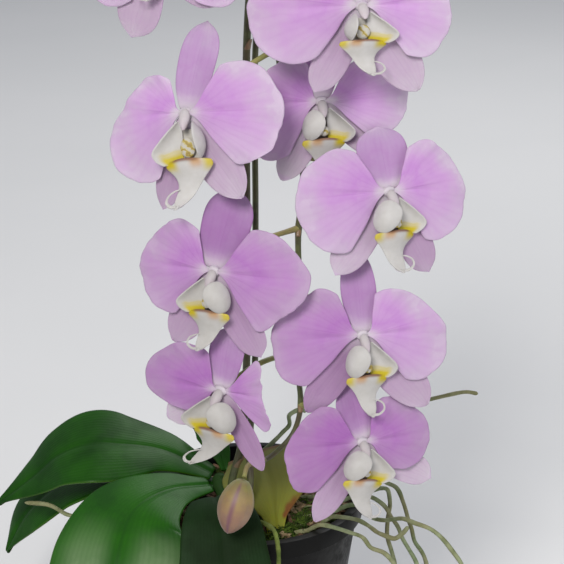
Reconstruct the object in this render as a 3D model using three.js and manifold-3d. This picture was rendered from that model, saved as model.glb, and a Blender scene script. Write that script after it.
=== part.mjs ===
// A moth orchid in a black plastic pot. Two arching spikes hang their flowers over the front of the pot.
// Millimetres, +Z up, the viewer looks along +Y. The origin is the centre of the pot's flat base.
import * as THREE from 'three';
import * as BufferGeometryUtils from 'three/addons/utils/BufferGeometryUtils.js';
import Module from 'manifold-3d';

const wasm = await Module();
wasm.setup();

// Driving dimensions of the pot and what fills it
const POT_HEIGHT = 95;
const POT_RIM_RADIUS = 56;
const POT_NECK_RADIUS = 53.5;
const POT_BASE_RADIUS = 41;
const POT_WALL = 1.6;
const POT_FLOOR = 2.4;
const RIM_HEIGHT = 9;
const DRAIN_RADIUS = 4;
const DRAIN_CIRCLE = 26;
const DRAIN_COUNT = 5;
const MEDIUM_EDGE_HEIGHT = 86;
const MEDIUM_CROWN_HEIGHT = 92;
const GAP = 0.3;

// Driving dimensions of a flower whose petals measure 78 mm from tip to tip
const TEPAL_THICKNESS = 1;
const CLAW_X = 2.8;
const CLAW_Y = 0.6;
const PETAL_FRONT = 1.1;
const PETAL_LIFT = 4.2;
const PETAL_DROP = 7;
const PETAL_FAN = 74;
const PETAL_SPAN = 36;
const SEPAL_FRONT = -0.5;
const SEPAL_HALF_WIDTH = 10;
const DORSAL_LEAN = 6;
const LATERAL_LEAN = 3;
const HUB_RADIUS = 3;
const HUB_BACK = -3;

// Driving dimensions of its column and lip
const COLUMN_LENGTH = 10;
const COLUMN_LEAN = 116;
const LIP_FRONT = 9.6;
const LIP_CLAW_LENGTH = 13;
const LIP_CLAW_THICKNESS = 1.6;
const LOBE_THICKNESS = 1.1;
const MIDDLE_LOBE_TOP = -12.5;
const MIDDLE_LOBE_LENGTH = 17.5;
const MIDDLE_LOBE_HALF_WIDTH = 9;
const SHOULDER = 0.25;
const SIDE_LOBE_FOOT = -14.5;
const SIDE_LOBE_HEIGHT = 12.5;
const SIDE_LOBE_HALF_WIDTH = 5.2;
const SIDE_LOBE_BULGE = 1.4;
const CALLUS_RADIUS = 2.2;
const TENDRIL_RADIUS = 0.5;
const TENDRIL = [
  [0.6, -29, 12.4], [3.5, -29.5, 12.4], [6.8, -27.5, 10.6], [6.4, -24.4, 8.2], [3.6, -22.4, 7.2],
];

// Driving dimensions of the stalks
const PEDICEL_RADIUS = 1.3;
const PEDICEL_STRAIGHT_END = 9;
const BUD_STALK_RADIUS = 1.1;
const SPIKE_RADIUS = 1.5;
const PLANT_STEM_RADIUS = 4.5;

const colours = {
  petal: new THREE.MeshStandardMaterial({ color: '#c98fd0', roughness: 0.55, metalness: 0 }),
  sepal: new THREE.MeshStandardMaterial({ color: '#c896cf', roughness: 0.55, metalness: 0 }),
  lip: new THREE.MeshStandardMaterial({ color: '#ece6de', roughness: 0.5, metalness: 0 }),
  bud: new THREE.MeshStandardMaterial({ color: '#c9a98a', roughness: 0.6, metalness: 0 }),
  spike: new THREE.MeshStandardMaterial({ color: '#6d7048', roughness: 0.6, metalness: 0 }),
  leaf: new THREE.MeshStandardMaterial({ color: '#1f4f24', roughness: 0.35, metalness: 0 }),
  oldLeaf: new THREE.MeshStandardMaterial({ color: '#9a9a3c', roughness: 0.5, metalness: 0 }),
  root: new THREE.MeshStandardMaterial({ color: '#8f9a78', roughness: 0.8, metalness: 0 }),
  medium: new THREE.MeshStandardMaterial({ color: '#4a3b28', roughness: 0.95, metalness: 0 }),
  pot: new THREE.MeshStandardMaterial({ color: '#15161a', roughness: 0.4, metalness: 0 }),
};

// Each flower: the centre in millimetres, its size, and how far it is turned to the viewer's right, tipped
// up and rolled, in degrees. A petal is its angle above the horizontal, its length and half its height. A
// sepal is its angle round the flower and its length. The lip's turn is extra to the flower's.
const FLOWERS = [
  {
    at: [-36.5, -62, 375], size: 0.98, turn: -21, tip: 4, roll: 4, lipTurn: -10, stem: [9, -22, 384.3],
    petals: [[-2, 36, 22], [-2, 34, 22.5]], sepals: [[90, 36], [245, 40], [303, 40]], spike: 'front',
  },
  {
    at: [48.5, -76, 354.5], size: 1.05, turn: 3, tip: 5, roll: 1.5, lipTurn: 8, stem: [14, -37, 352],
    petals: [[2, 41, 21.5], [0, 33.5, 22]], sepals: [[90, 36], [239, 38.5], [306, 41]], spike: 'front',
  },
  {
    at: [-25, -62, 305.5], size: 1.05, turn: -25, tip: 8, roll: 9, lipTurn: -10, stem: [14.5, -33, 326],
    petals: [[-18, 34.5, 22], [-3, 39, 21.5]], sepals: [[76, 37], [255, 41], [299, 39]], spike: 'front',
  },
  {
    at: [33, -50, 307.5], size: 0.94, turn: -4, tip: 6, roll: 4, lipTurn: -12, stem: [25, -4, 324],
    petals: [[-6, 32, 23], [3, 36.5, 21.5]], sepals: [[90, 36], [240, 40], [297, 41]], spike: 'back',
  },
  {
    at: [62, -66, 272], size: 1, turn: 14, tip: 10, roll: 0, lipTurn: 12, stem: [24.3, -33, 279],
    petals: [[-9, 38, 22.5], [-5, 33.5, 22.5]], sepals: [[94, 31], [235, 41.5], [297, 41]], spike: 'front',
  },
  {
    at: [-14, -66, 235.5], size: 1.01, turn: -19, tip: 7, roll: -1, lipTurn: -12, stem: [23, -35.5, 246],
    petals: [[-4, 34, 21.5], [-4, 38.5, 22.5]], sepals: [[86, 34], [241, 40], [302, 41]], spike: 'front',
  },
  {
    at: [51.5, -70, 207], size: 1, turn: 4, tip: 7, roll: 3, lipTurn: 16, stem: [25, -39, 214],
    petals: [[-1, 37, 22], [-2, 35, 21]], sepals: [[90, 33.5], [234, 41.5], [310, 42.5]], spike: 'front',
  },
  {
    at: [-11.5, -70, 180.5], size: 0.88, turn: -19, tip: 5, roll: -3, lipTurn: -12, stem: [23.8, -38.5, 187],
    petals: [[2, 38, 21], [4, 26, 21.5]], sepals: [[93, 32], [227, 40], [303, 45]], spike: 'front',
  },
  {
    at: [52, -74, 157], size: 0.93, turn: 15, tip: 12, roll: 1, lipTurn: 12, stem: [24, -39, 160],
    petals: [[-3, 36, 21.5], [0, 32.5, 21]], sepals: [[97, 29], [234, 43], [298, 45]], spike: 'front',
  },
];

// Where the two spikes run, from the foot of the plant over the arch and down in front of the pot
const FRONT_SPIKE = [
  [-9, -27, 92], [-9, -29, 98], [-8, -28, 115], [-3.7, -24, 131.5], [-1, -12, 170], [-0.5, -8, 240],
  [0, -6, 322], [3, -8, 362], [7, -16, 383], [11, -28, 383], [14, -34, 362], [14.6, -33, 323], [20, -32, 297],
  [25.3, -32, 271.5], [23.2, -35, 241], [24.5, -38, 205], [23.5, -38, 176], [24.5, -39, 158], [21, -41, 146],
  [13, -47, 139], [6, -54, 137],
];
const BACK_SPIKE = [
  [-2, -26, 92], [-2.3, -30, 99], [-0.7, -33.5, 106], [0.8, -33, 116], [0.4, -26, 131], [3, -9, 170],
  [3.5, -3, 240], [4, 0, 322], [8, 3, 354], [15, 4, 366], [22, 1, 358], [25, -3, 338], [25, -4, 316],
];
const BUD_TOP = [-1.5, -68, 136];
const BUD_FOOT = [-9, -74, 111];
const BUD_RADIUS = 8;
const BUD_STALK = [
  [8, -52, 137.5], [3.5, -58, 140], [0, -64, 140], [BUD_TOP[0] + 0.15, BUD_TOP[1] + 0.1, BUD_TOP[2] + 0.6],
];

// Each leaf: the points of its midrib with, at each, half its width, and the way its upper side faces
const LEAVES = {
  leaf_left: {
    rib: [[-18, 0.5, 105], [-43, 6, 115], [-64, 4, 119], [-80, 3, 119.5], [-95, 2, 114], [-107, 1.5, 103.5],
      [-127, 0, 88]],
    widths: [5, 15, 25, 27, 22, 14, 2], up: [0, -0.27, 1], fold: 0.06, colour: 'leaf',
  },
  leaf_front: {
    rib: [[-19, -10.5, 104.5], [-40, -24, 108], [-55, -40.5, 105], [-61, -62, 91], [-64, -80, 68],
      [-66, -92, 42]],
    widths: [5, 14, 24, 31, 27, 5], up: [0.1, -0.3, 1], fold: 0.06, colour: 'leaf',
  },
  leaf_front_right: {
    rib: [[-15.5, -18, 98], [-18, -25, 99], [-17.5, -33, 107], [-15.5, -42, 113.5], [-13, -54, 111],
      [-11, -66, 99], [-9, -79, 78], [-7, -88, 52]],
    widths: [4, 5, 6, 12, 17.5, 20.5, 21, 4], up: [0, -0.2, 1], fold: 0.06, colour: 'leaf',
  },
  leaf_back_left: {
    rib: [[-17, -2.5, 99.5], [-46, 12, 102], [-74, 20, 99], [-96, 20, 90], [-114, 16, 75], [-126, 12, 54]],
    widths: [5, 14, 21, 20, 15, 4], up: [0, -0.15, 1], fold: 0.05, colour: 'leaf',
  },
  leaf_young: {
    rib: [[-12, 4.5, 104.5], [-16, 13, 113], [-23, 18, 120], [-30, 21, 123]],
    widths: [2.5, 6, 6.5, 2], up: [0.3, -0.6, 1], fold: 0.12, colour: 'leaf',
  },
  leaf_old: {
    rib: [[13, -40, 90.2], [12.5, -37, 97], [12, -33, 101], [10, -22, 110], [7, -11, 115], [4, 1, 117]],
    widths: [4, 5, 8, 20, 22, 16], up: [0, -0.8, 0.6], fold: 0.02, colour: 'oldLeaf',
  },
};
const LEAF_THICKNESS = 2;

// Aerial roots, each a list of points by hand. Those past the rim hang beside the pot.
const ROOTS = {
  root_hanging_1: [
    [20, -4, 93], [40, -5, 95], [51, -5, 98.5], [59.5, -5, 97.5], [64.5, -5, 99], [68, -5, 98.5],
    [69.5, -5, 91.5], [68.5, -5, 82.5], [68.5, -5, 73.5], [70.5, -6, 65], [72.5, -7, 57.5], [74, -7, 40],
    [73, -6, 22],
  ],
  root_hanging_2: [
    [24, 4, 93], [42, 3, 96], [54, 2, 99], [63, 2, 101.5], [68.5, 2, 98.5], [73, 2, 96], [76, 2, 89],
    [79, 2, 79], [80.5, 2, 74.5], [82.5, 2, 66.5], [86, 1, 61], [88.5, 0, 55], [93, -1, 40], [95, -2, 22],
    [96, -3, 8],
  ],
  root_hanging_3: [
    [20, -16, 93], [42, -14, 95.5], [52, -12, 98.5], [60, -12, 97.5], [65.5, -12, 93.5], [69, -12, 88],
    [73, -13, 82.5], [75.5, -14, 76], [79.5, -15, 69], [82.5, -16, 63], [86, -17, 48], [88, -18, 30],
  ],
  root_hanging_4: [
    [18, -26, 93], [38, -24, 95], [49, -21.5, 98.5], [55, -22, 97.8], [58.5, -27, 95], [65, -30, 94.5],
    [74, -33, 97], [80, -35, 95.5], [88, -36, 92.5], [93.5, -37, 87.5], [98.5, -38, 81], [102.5, -39, 75.5],
    [108, -40, 62], [112, -41, 44],
  ],
  root_hanging_5: [
    [18, -31, 91.6], [35, -32, 95], [40, -33, 98], [45, -34.5, 98.7], [52, -36, 98], [57, -37.5, 95.5],
    [61, -40, 93.5], [64, -42, 93], [69.5, -42, 91], [73.5, -41, 93.5], [76, -40, 96.5],
  ],
  root_hanging_6: [
    [22, -36, 91], [28, -38.5, 93.5], [33.5, -41.5, 98], [40, -43.5, 98.2], [48, -44.5, 96], [54, -44, 93],
    [58, -45, 88], [64.5, -46, 85.5], [70, -47, 79],
  ],
  root_upper_right: [
    [10, 0, 93], [36, 14, 114], [58, 20, 123], [75.5, 24, 127], [83, 26, 130], [93, 28, 133],
    [103, 30, 134.5], [109.5, 31, 135], [115.5, 32, 133.5],
  ],
  root_left: [
    [-26, -20, 92.5], [-40, -20, 94.5], [-51, -20, 98.5], [-62, -18, 95], [-76, -15, 88], [-89.5, -12, 88],
    [-99.5, -9, 92], [-111.5, -6, 91.5],
  ],
  root_front: [
    [-3, -40, 89.5], [-1, -43, 97], [4, -46, 102], [11.5, -52, 102], [13.5, -56, 99], [14.3, -58.8, 95],
    [14.5, -59.5, 86],
  ],
  root_back: [
    [-2, 18, 92.1], [4, 12, 108], [10, 8, 116.5], [16.5, 8, 123.5], [19.5, 8, 127.5], [19.5, 8, 132.5],
    [25, 10, 135], [28, 12, 133],
  ],
};
const ROOT_RADIUS = 1.3;

// The short stem that carries the leaves, leaning to the left out of the medium
const PLANT_STEM = [[-8, -17, 92], [-8, -17, 94], [-12, -11, 99], [-14.5, -6, 103], [-14.5, -3, 105]];

// Solids and their joins

function bare(geometry) {
  const plain = geometry.clone();
  plain.deleteAttribute('normal');
  plain.deleteAttribute('uv');
  return BufferGeometryUtils.mergeVertices(plain, 1e-4);
}

function asManifold(geometry) {
  const merged = bare(geometry);
  const mesh = new wasm.Mesh({
    numProp: 3,
    vertProperties: new Float32Array(merged.attributes.position.array),
    triVerts: new Uint32Array(merged.index.array),
  });
  return new wasm.Manifold(mesh);
}

function asGeometry(solid) {
  const mesh = solid.getMesh();
  const geometry = new THREE.BufferGeometry();
  geometry.setAttribute('position', new THREE.BufferAttribute(mesh.vertProperties, 3));
  geometry.setIndex(new THREE.BufferAttribute(mesh.triVerts, 1));
  return geometry;
}

function joined(geometries) {
  return asGeometry(geometries.map(asManifold).reduce((whole, next) => whole.add(next)));
}

// A thin sheet with a front and a back. point(u, v) gives the front face, u along it and v across it from
// -1 to 1.
function sheet(point, lengthSteps, crossSteps, thickness) {
  const across = crossSteps + 1;
  const count = (lengthSteps + 1) * across;
  const positions = new Float32Array(count * 2 * 3);
  const step = 1e-3;
  for (let i = 0; i <= lengthSteps; i += 1) {
    for (let j = 0; j <= crossSteps; j += 1) {
      const u = i / lengthSteps;
      const v = (2 * j) / crossSteps - 1;
      const front = point(u, v);
      const along = point(u + step, v).sub(point(u - step, v));
      const side = point(u, v + step).sub(point(u, v - step));
      const back = along.cross(side).setLength(-thickness).add(front);
      front.toArray(positions, (i * across + j) * 3);
      back.toArray(positions, (count + i * across + j) * 3);
    }
  }
  const faces = [];
  for (let i = 0; i < lengthSteps; i += 1) {
    for (let j = 0; j < crossSteps; j += 1) {
      const a = i * across + j;
      const b = a + across;
      faces.push(a, b, a + 1, b, b + 1, a + 1);
      faces.push(count + a, count + a + 1, count + b, count + b, count + a + 1, count + b + 1);
    }
  }
  const rim = [];
  for (let i = 0; i < lengthSteps; i += 1) rim.push(i * across);
  for (let j = 0; j < crossSteps; j += 1) rim.push(lengthSteps * across + j);
  for (let i = lengthSteps; i > 0; i -= 1) rim.push(i * across + crossSteps);
  for (let j = crossSteps; j > 0; j -= 1) rim.push(j);
  rim.forEach((a, k) => {
    const b = rim[(k + 1) % rim.length];
    faces.push(b, a, count + a, b, count + a, count + b);
  });
  const geometry = new THREE.BufferGeometry();
  geometry.setAttribute('position', new THREE.BufferAttribute(positions, 3));
  geometry.setIndex(faces);
  return geometry;
}

// The same solid seen in a mirror, left for right
function mirrored(geometry) {
  const copy = geometry.clone();
  copy.scale(-1, 1, 1);
  const index = copy.index.array;
  for (let i = 0; i < index.length; i += 3) {
    [index[i + 1], index[i + 2]] = [index[i + 2], index[i + 1]];
  }
  return copy;
}

function curveThrough(points) {
  return new THREE.CatmullRomCurve3(points.map((p) => new THREE.Vector3(...p)), false, 'centripetal');
}

// The point of a curve that lies closest to a given place
function nearestOn(curve, place) {
  const target = new THREE.Vector3(...place);
  return curve.getPoints(400).reduce((best, p) => (
    p.distanceTo(target) < best.distanceTo(target) ? p : best
  ));
}

// A round tube with closed ends along a curve through hand-set points
function tube(points, radius, sides, steps) {
  const curve = curveThrough(points);
  const section = new THREE.Shape();
  for (let k = 0; k < sides; k += 1) {
    const turn = (k / sides) * Math.PI * 2;
    const place = [radius * Math.cos(turn), radius * Math.sin(turn)];
    if (k === 0) section.moveTo(...place);
    else section.lineTo(...place);
  }
  section.closePath();
  return bare(new THREE.ExtrudeGeometry(section, { steps, extrudePath: curve, curveSegments: 1 }));
}

// Flower organs, in the flower's own frame: x to the viewer's right, y up, z towards the viewer

function petal([angle, length, halfHeight], size) {
  const fan = THREE.MathUtils.degToRad(PETAL_FAN);
  const axis = THREE.MathUtils.degToRad(angle);
  const point = (u, v) => {
    const theta = v * fan;
    const squash = (length / 2 / halfHeight) ** 2;
    const edge = (length * Math.cos(theta)) / (Math.cos(theta) ** 2 + squash * Math.sin(theta) ** 2);
    const reach = 1 + (edge - 1) * u;
    const q = reach / PETAL_SPAN;
    return new THREE.Vector3(
      CLAW_X + reach * Math.cos(axis + theta),
      CLAW_Y + reach * Math.sin(axis + theta),
      PETAL_FRONT + PETAL_LIFT * q - PETAL_DROP * q * q,
    ).multiplyScalar(size);
  };
  return sheet(point, 4, 6, TEPAL_THICKNESS);
}

function sepal([angle, length], lean, size) {
  const axis = THREE.MathUtils.degToRad(angle);
  const point = (u, v) => {
    const rounding = 1 - 0.07 * v * v * u;
    const reach = (1 + (length - 1) * u) * rounding;
    const half = v * SEPAL_HALF_WIDTH * Math.sin(Math.PI * (0.12 + 0.8 * u)) ** 0.8;
    return new THREE.Vector3(
      reach * Math.cos(axis) - half * Math.sin(axis),
      reach * Math.sin(axis) + half * Math.cos(axis),
      SEPAL_FRONT - lean * u * u,
    ).multiplyScalar(size);
  };
  return sheet(point, 4, 2, TEPAL_THICKNESS);
}

function sepals(angles, size) {
  const hub = new THREE.CylinderGeometry(HUB_RADIUS, PEDICEL_RADIUS + 0.7, -HUB_BACK - GAP, 7);
  hub.rotateX(Math.PI / 2);
  hub.translate(0, 0, (HUB_BACK - GAP) / 2);
  hub.scale(size, size, size);
  const blades = angles.map((form, k) => sepal(form, k === 0 ? DORSAL_LEAN : LATERAL_LEAN, size));
  return joined([hub, ...blades]);
}

// The column is a short blunt beak over the lip. The lip has two standing side lobes, a kite-shaped middle
// lobe and two thin tendrils that curl back from its tip.
function lipAndColumn(size, turn) {
  const column = new THREE.LatheGeometry(
    [[0, 0], [2.1, 0], [2, 3], [2.3, COLUMN_LENGTH - 3], [1.9, COLUMN_LENGTH - 0.8], [0, COLUMN_LENGTH]]
      .map(([radius, along]) => new THREE.Vector2(radius, along)),
    7,
  );
  column.rotateX(THREE.MathUtils.degToRad(COLUMN_LEAN));
  column.translate(0, 0.2, 0.9);
  const claw = sheet(
    (u, v) => new THREE.Vector3(v * (2 + 2 * u), -1 - LIP_CLAW_LENGTH * u, 2.4 + 6.6 * u - 1.2 * v * v),
    2, 2, LIP_CLAW_THICKNESS,
  );
  const middle = sheet(
    (u, v) => new THREE.Vector3(
      v * (u < SHOULDER ? 4 + 20 * u : MIDDLE_LOBE_HALF_WIDTH * (1 - ((u - SHOULDER) / 0.9) ** 0.8) + 0.3),
      MIDDLE_LOBE_TOP - MIDDLE_LOBE_LENGTH * u,
      LIP_FRONT + 3.4 * Math.sin(u * 2.2) - 0.04 * (v * MIDDLE_LOBE_HALF_WIDTH) ** 2 * (1 - u),
    ),
    4, 2, LOBE_THICKNESS,
  );
  const sideLobe = sheet(
    (u, v) => {
      const half = SIDE_LOBE_HALF_WIDTH * Math.sqrt(Math.max(1 - (1.9 * u - 0.95) ** 2, 0.02));
      return new THREE.Vector3(
        3 + 4.5 * u - 1.6 * v * v + SIDE_LOBE_BULGE * Math.sin(u * Math.PI),
        SIDE_LOBE_FOOT + SIDE_LOBE_HEIGHT * u,
        LIP_FRONT + v * half,
      );
    },
    3, 2, LOBE_THICKNESS,
  );
  const tendril = tube(TENDRIL, TENDRIL_RADIUS, 4, 5);
  const callus = new THREE.IcosahedronGeometry(CALLUS_RADIUS);
  callus.translate(0, MIDDLE_LOBE_TOP + 0.1, LIP_FRONT);
  const whole = joined([
    column, claw, middle, sideLobe, mirrored(sideLobe), tendril, mirrored(tendril), callus,
  ]);
  const swing = new THREE.Matrix4().makeRotationY(THREE.MathUtils.degToRad(turn));
  whole.applyMatrix4(swing);
  whole.scale(size, size, size);
  return whole;
}

const plant = new THREE.Group();
plant.name = 'potted_moth_orchid';

function addMesh(name, geometry, material, parent = plant) {
  const mesh = new THREE.Mesh(geometry, material);
  mesh.name = name;
  parent.add(mesh);
  return mesh;
}

function flowerGroup({ at, turn, tip, roll }) {
  const group = new THREE.Group();
  const radians = [turn, -tip, roll].map(THREE.MathUtils.degToRad);
  const facing = new THREE.Quaternion().setFromAxisAngle(new THREE.Vector3(0, 0, 1), radians[0]);
  const upright = radians[1] + Math.PI / 2;
  facing.multiply(new THREE.Quaternion().setFromAxisAngle(new THREE.Vector3(1, 0, 0), upright));
  facing.multiply(new THREE.Quaternion().setFromAxisAngle(new THREE.Vector3(0, 0, 1), radians[2]));
  group.position.set(...at);
  group.quaternion.copy(facing);
  group.updateMatrixWorld(true);
  return group;
}

const spikes = { front: curveThrough(FRONT_SPIKE), back: curveThrough(BACK_SPIKE) };
const pedicels = { front: [], back: [] };
FLOWERS.forEach((flower, k) => {
  const number = k + 1;
  const { size } = flower;
  const group = flowerGroup(flower);
  plant.add(group);
  addMesh(`flower_${number}_sepals`, sepals(flower.sepals, size), colours.sepal, group);
  addMesh(`flower_${number}_petal_left`, mirrored(petal(flower.petals[0], size)), colours.petal, group);
  addMesh(`flower_${number}_petal_right`, petal(flower.petals[1], size), colours.petal, group);
  addMesh(`flower_${number}_lip_and_column`, lipAndColumn(size, flower.lipTurn), colours.lip, group);
  const behind = [HUB_BACK - PEDICEL_STRAIGHT_END, HUB_BACK - GAP / size].map((z) => (
    new THREE.Vector3(0, 0, z * size).applyMatrix4(group.matrixWorld)
  ));
  const stem = nearestOn(spikes[flower.spike], flower.stem);
  const bend = stem.clone().lerp(behind[0], 0.55).add(new THREE.Vector3(0, 0, 3));
  pedicels[flower.spike].push(tube([stem, bend, ...behind].map((p) => p.toArray()), PEDICEL_RADIUS, 5, 6));
});

// Spikes with the stalks of their flowers. The front one ends in the stalk of the bud.
const budTop = new THREE.Vector3(...BUD_TOP);
const budFoot = new THREE.Vector3(...BUD_FOOT);
const budStalk = tube(BUD_STALK, BUD_STALK_RADIUS, 5, 4);
const frontStalk = tube(FRONT_SPIKE, SPIKE_RADIUS, 5, 44);
addMesh('spike_front', joined([frontStalk, budStalk, ...pedicels.front]), colours.spike);
addMesh('spike_back', joined([tube(BACK_SPIKE, SPIKE_RADIUS, 5, 24), ...pedicels.back]), colours.spike);

const budProfile = [];
const BUD_STEPS = 8;
const budLength = budTop.distanceTo(budFoot);
for (let k = 0; k <= BUD_STEPS; k += 1) {
  const s = k / BUD_STEPS;
  const radius = BUD_RADIUS * Math.sin(Math.PI * s) ** 0.75 * (0.86 + 0.22 * s);
  budProfile.push(new THREE.Vector2(k === 0 || k === BUD_STEPS ? 0 : radius, -budLength * s));
}
const bud = new THREE.LatheGeometry(budProfile.reverse(), 10);
bud.applyQuaternion(new THREE.Quaternion().setFromUnitVectors(
  new THREE.Vector3(0, -1, 0),
  budFoot.clone().sub(budTop).normalize(),
));
bud.translate(...BUD_TOP);
addMesh('bud', bud, colours.bud);

// A leaf follows its midrib. Its two halves rise from the midrib as a shallow trough.
function leafSolid({ rib, widths, up, fold }) {
  const curve = curveThrough(rib);
  const facing = new THREE.Vector3(...up).normalize();
  const last = widths.length - 1;
  const halfWidth = (u) => {
    const place = Math.min(Math.max(u, 0), 1) * last;
    const k = Math.min(Math.floor(place), last - 1);
    const blend = place - k;
    const smooth = blend * blend * (3 - 2 * blend);
    return widths[k] + (widths[k + 1] - widths[k]) * smooth;
  };
  const point = (u, v) => {
    const t = Math.min(Math.max(u, 0), 1);
    const side = facing.clone().cross(curve.getTangent(t)).normalize();
    const normal = curve.getTangent(t).cross(side).normalize();
    const half = halfWidth(t);
    const place = curve.getPoint(t).addScaledVector(side, v * half);
    place.addScaledVector(curve.getTangent(t), (u - t) * 100);
    return place.addScaledVector(normal, fold * half * Math.abs(v) - 0.1 * half * v * v);
  };
  return sheet(point, 9, 4, LEAF_THICKNESS);
}
Object.entries(LEAVES).forEach(([name, leaf]) => {
  addMesh(name, leafSolid(leaf), colours[leaf.colour]);
});

addMesh('plant_stem', tube(PLANT_STEM, PLANT_STEM_RADIUS, 8, 5), colours.spike);

Object.entries(ROOTS).forEach(([name, points]) => {
  addMesh(name, tube(points, ROOT_RADIUS, 5, 14), colours.root);
});

// Pot with a rolled rim and drain holes, and the bark and moss that fill it
const potProfile = [
  [0, 0],
  [POT_BASE_RADIUS, 0],
  [POT_NECK_RADIUS, POT_HEIGHT - RIM_HEIGHT],
  [POT_RIM_RADIUS, POT_HEIGHT - RIM_HEIGHT],
  [POT_RIM_RADIUS, POT_HEIGHT],
  [POT_NECK_RADIUS - POT_WALL, POT_HEIGHT],
  [POT_NECK_RADIUS - POT_WALL, POT_HEIGHT - RIM_HEIGHT],
  [POT_BASE_RADIUS - POT_WALL, POT_FLOOR],
  [0, POT_FLOOR],
].map(([radius, height]) => new THREE.Vector2(radius, height));
const potShell = new THREE.LatheGeometry(potProfile, 28);
potShell.rotateX(Math.PI / 2);
let pot = asManifold(potShell);
for (let k = 0; k < DRAIN_COUNT; k += 1) {
  const turn = (k / DRAIN_COUNT) * Math.PI * 2;
  const hole = new THREE.CylinderGeometry(DRAIN_RADIUS, DRAIN_RADIUS, POT_FLOOR * 4, 8);
  hole.rotateX(Math.PI / 2);
  hole.translate(DRAIN_CIRCLE * Math.cos(turn), DRAIN_CIRCLE * Math.sin(turn), 0);
  pot = pot.subtract(asManifold(hole));
}
addMesh('pot', asGeometry(pot), colours.pot);

const wallSlope = (POT_NECK_RADIUS - POT_BASE_RADIUS) / (POT_HEIGHT - RIM_HEIGHT - POT_FLOOR);
const fillRadius = (height) => (
  POT_BASE_RADIUS - POT_WALL - GAP * 1.5 + Math.max(height - POT_FLOOR, 0) * wallSlope * 0.99
);
const fillProfile = [
  [0, POT_FLOOR + GAP],
  [fillRadius(POT_FLOOR), POT_FLOOR + GAP],
  [fillRadius(MEDIUM_EDGE_HEIGHT), MEDIUM_EDGE_HEIGHT],
  [fillRadius(MEDIUM_EDGE_HEIGHT) * 0.6, MEDIUM_CROWN_HEIGHT - 1],
  [0, MEDIUM_CROWN_HEIGHT],
].map(([radius, height]) => new THREE.Vector2(radius, height));
const fill = new THREE.LatheGeometry(fillProfile, 20);
fill.rotateX(Math.PI / 2);
addMesh('growing_medium', fill, colours.medium);

export default plant;
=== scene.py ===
# %% [markdown]
# # A moth orchid in its pot
#
# This notebook dresses a finished engineering model of a potted moth orchid. The model gives us a
# fixed frame: every flower, leaf, root and the pot already stand in their places, as plain solids.
# We model each of them again with living shapes and give them real looking skins.
# All lengths below are written in millimetres, because a flower is easier to think of that way,
# and are turned into Blender's metres at the moment when a mesh is made.

# %% The frame and the tools
import math
import random

import bpy
from mathutils import Matrix, Vector, noise


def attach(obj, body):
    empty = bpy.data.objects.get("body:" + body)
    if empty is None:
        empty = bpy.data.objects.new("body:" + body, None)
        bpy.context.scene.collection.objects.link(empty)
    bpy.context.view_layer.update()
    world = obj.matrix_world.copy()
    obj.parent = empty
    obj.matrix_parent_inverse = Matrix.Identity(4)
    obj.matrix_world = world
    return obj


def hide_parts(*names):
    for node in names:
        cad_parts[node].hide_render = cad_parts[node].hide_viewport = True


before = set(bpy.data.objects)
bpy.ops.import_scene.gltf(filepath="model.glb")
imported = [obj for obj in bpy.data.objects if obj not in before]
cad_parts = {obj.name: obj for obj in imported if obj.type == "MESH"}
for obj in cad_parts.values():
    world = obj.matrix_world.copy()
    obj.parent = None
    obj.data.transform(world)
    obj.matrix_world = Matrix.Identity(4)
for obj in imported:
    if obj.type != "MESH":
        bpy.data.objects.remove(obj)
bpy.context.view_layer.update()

MM = 0.001

# %% [markdown]
# ## Camera and studio
#
# The plant is seen from a little above and from straight ahead. A long lens keeps the flowers in
# proportion, as a photographer would. The studio has a large soft light from the upper left, a weaker
# one from the right, one behind that lights the rims, and a pale sky. Small hard lamps would be
# brighter, but soft ones keep the shadows gentle and let the petals show their skin.

# %% Camera
EYE = Vector((15.9, -806.6, 507.6)) * MM
LOOK_DOWN = 20.5
SENSOR_WIDTH = 36
FRAME_WIDTH = 564
FOCAL_LENGTH = 1808  # in pixels of a frame that wide
bpy.ops.object.camera_add(location=EYE, rotation=(math.radians(90 - LOOK_DOWN), 0, 0))
camera = bpy.context.object
camera.data.sensor_width = SENSOR_WIDTH
camera.data.lens = SENSOR_WIDTH * FOCAL_LENGTH / FRAME_WIDTH
camera.data.clip_start = 0.05
camera.data.clip_end = 20
bpy.context.scene.camera = camera
bpy.context.scene.view_settings.view_transform = "Standard"
print("lens in mm:", round(camera.data.lens, 1))


# %% Lights and sky
def area_light(name, place, target, size, power, tint=(1, 1, 1)):
    """A square soft light that looks at a target. Its power is in watts."""
    bpy.ops.object.light_add(type="AREA", location=place)
    lamp = bpy.context.object
    lamp.name = name
    lamp.data.size = size
    lamp.data.energy = power
    lamp.data.color = tint
    lamp.rotation_euler = (Vector(target) - Vector(place)).to_track_quat("-Z", "Y").to_euler()
    return lamp


HEART = (0.01, -0.04, 0.24)
area_light("key_light", (-0.35, -1.35, 1.2), HEART, 0.5, 25, (1, 0.985, 0.96))
area_light("fill_light", (1.2, -1.0, 0.7), HEART, 1.0, 7, (0.96, 0.98, 1))
area_light("rim_light", (0.5, 1.1, 1.3), HEART, 0.9, 10)
sky = bpy.data.worlds.new("pale_sky")
sky.use_nodes = True
sky.node_tree.nodes["Background"].inputs["Color"].default_value = (0.86, 0.9, 1, 1)
sky.node_tree.nodes["Background"].inputs["Strength"].default_value = 0.42
bpy.context.scene.world = sky

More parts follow.
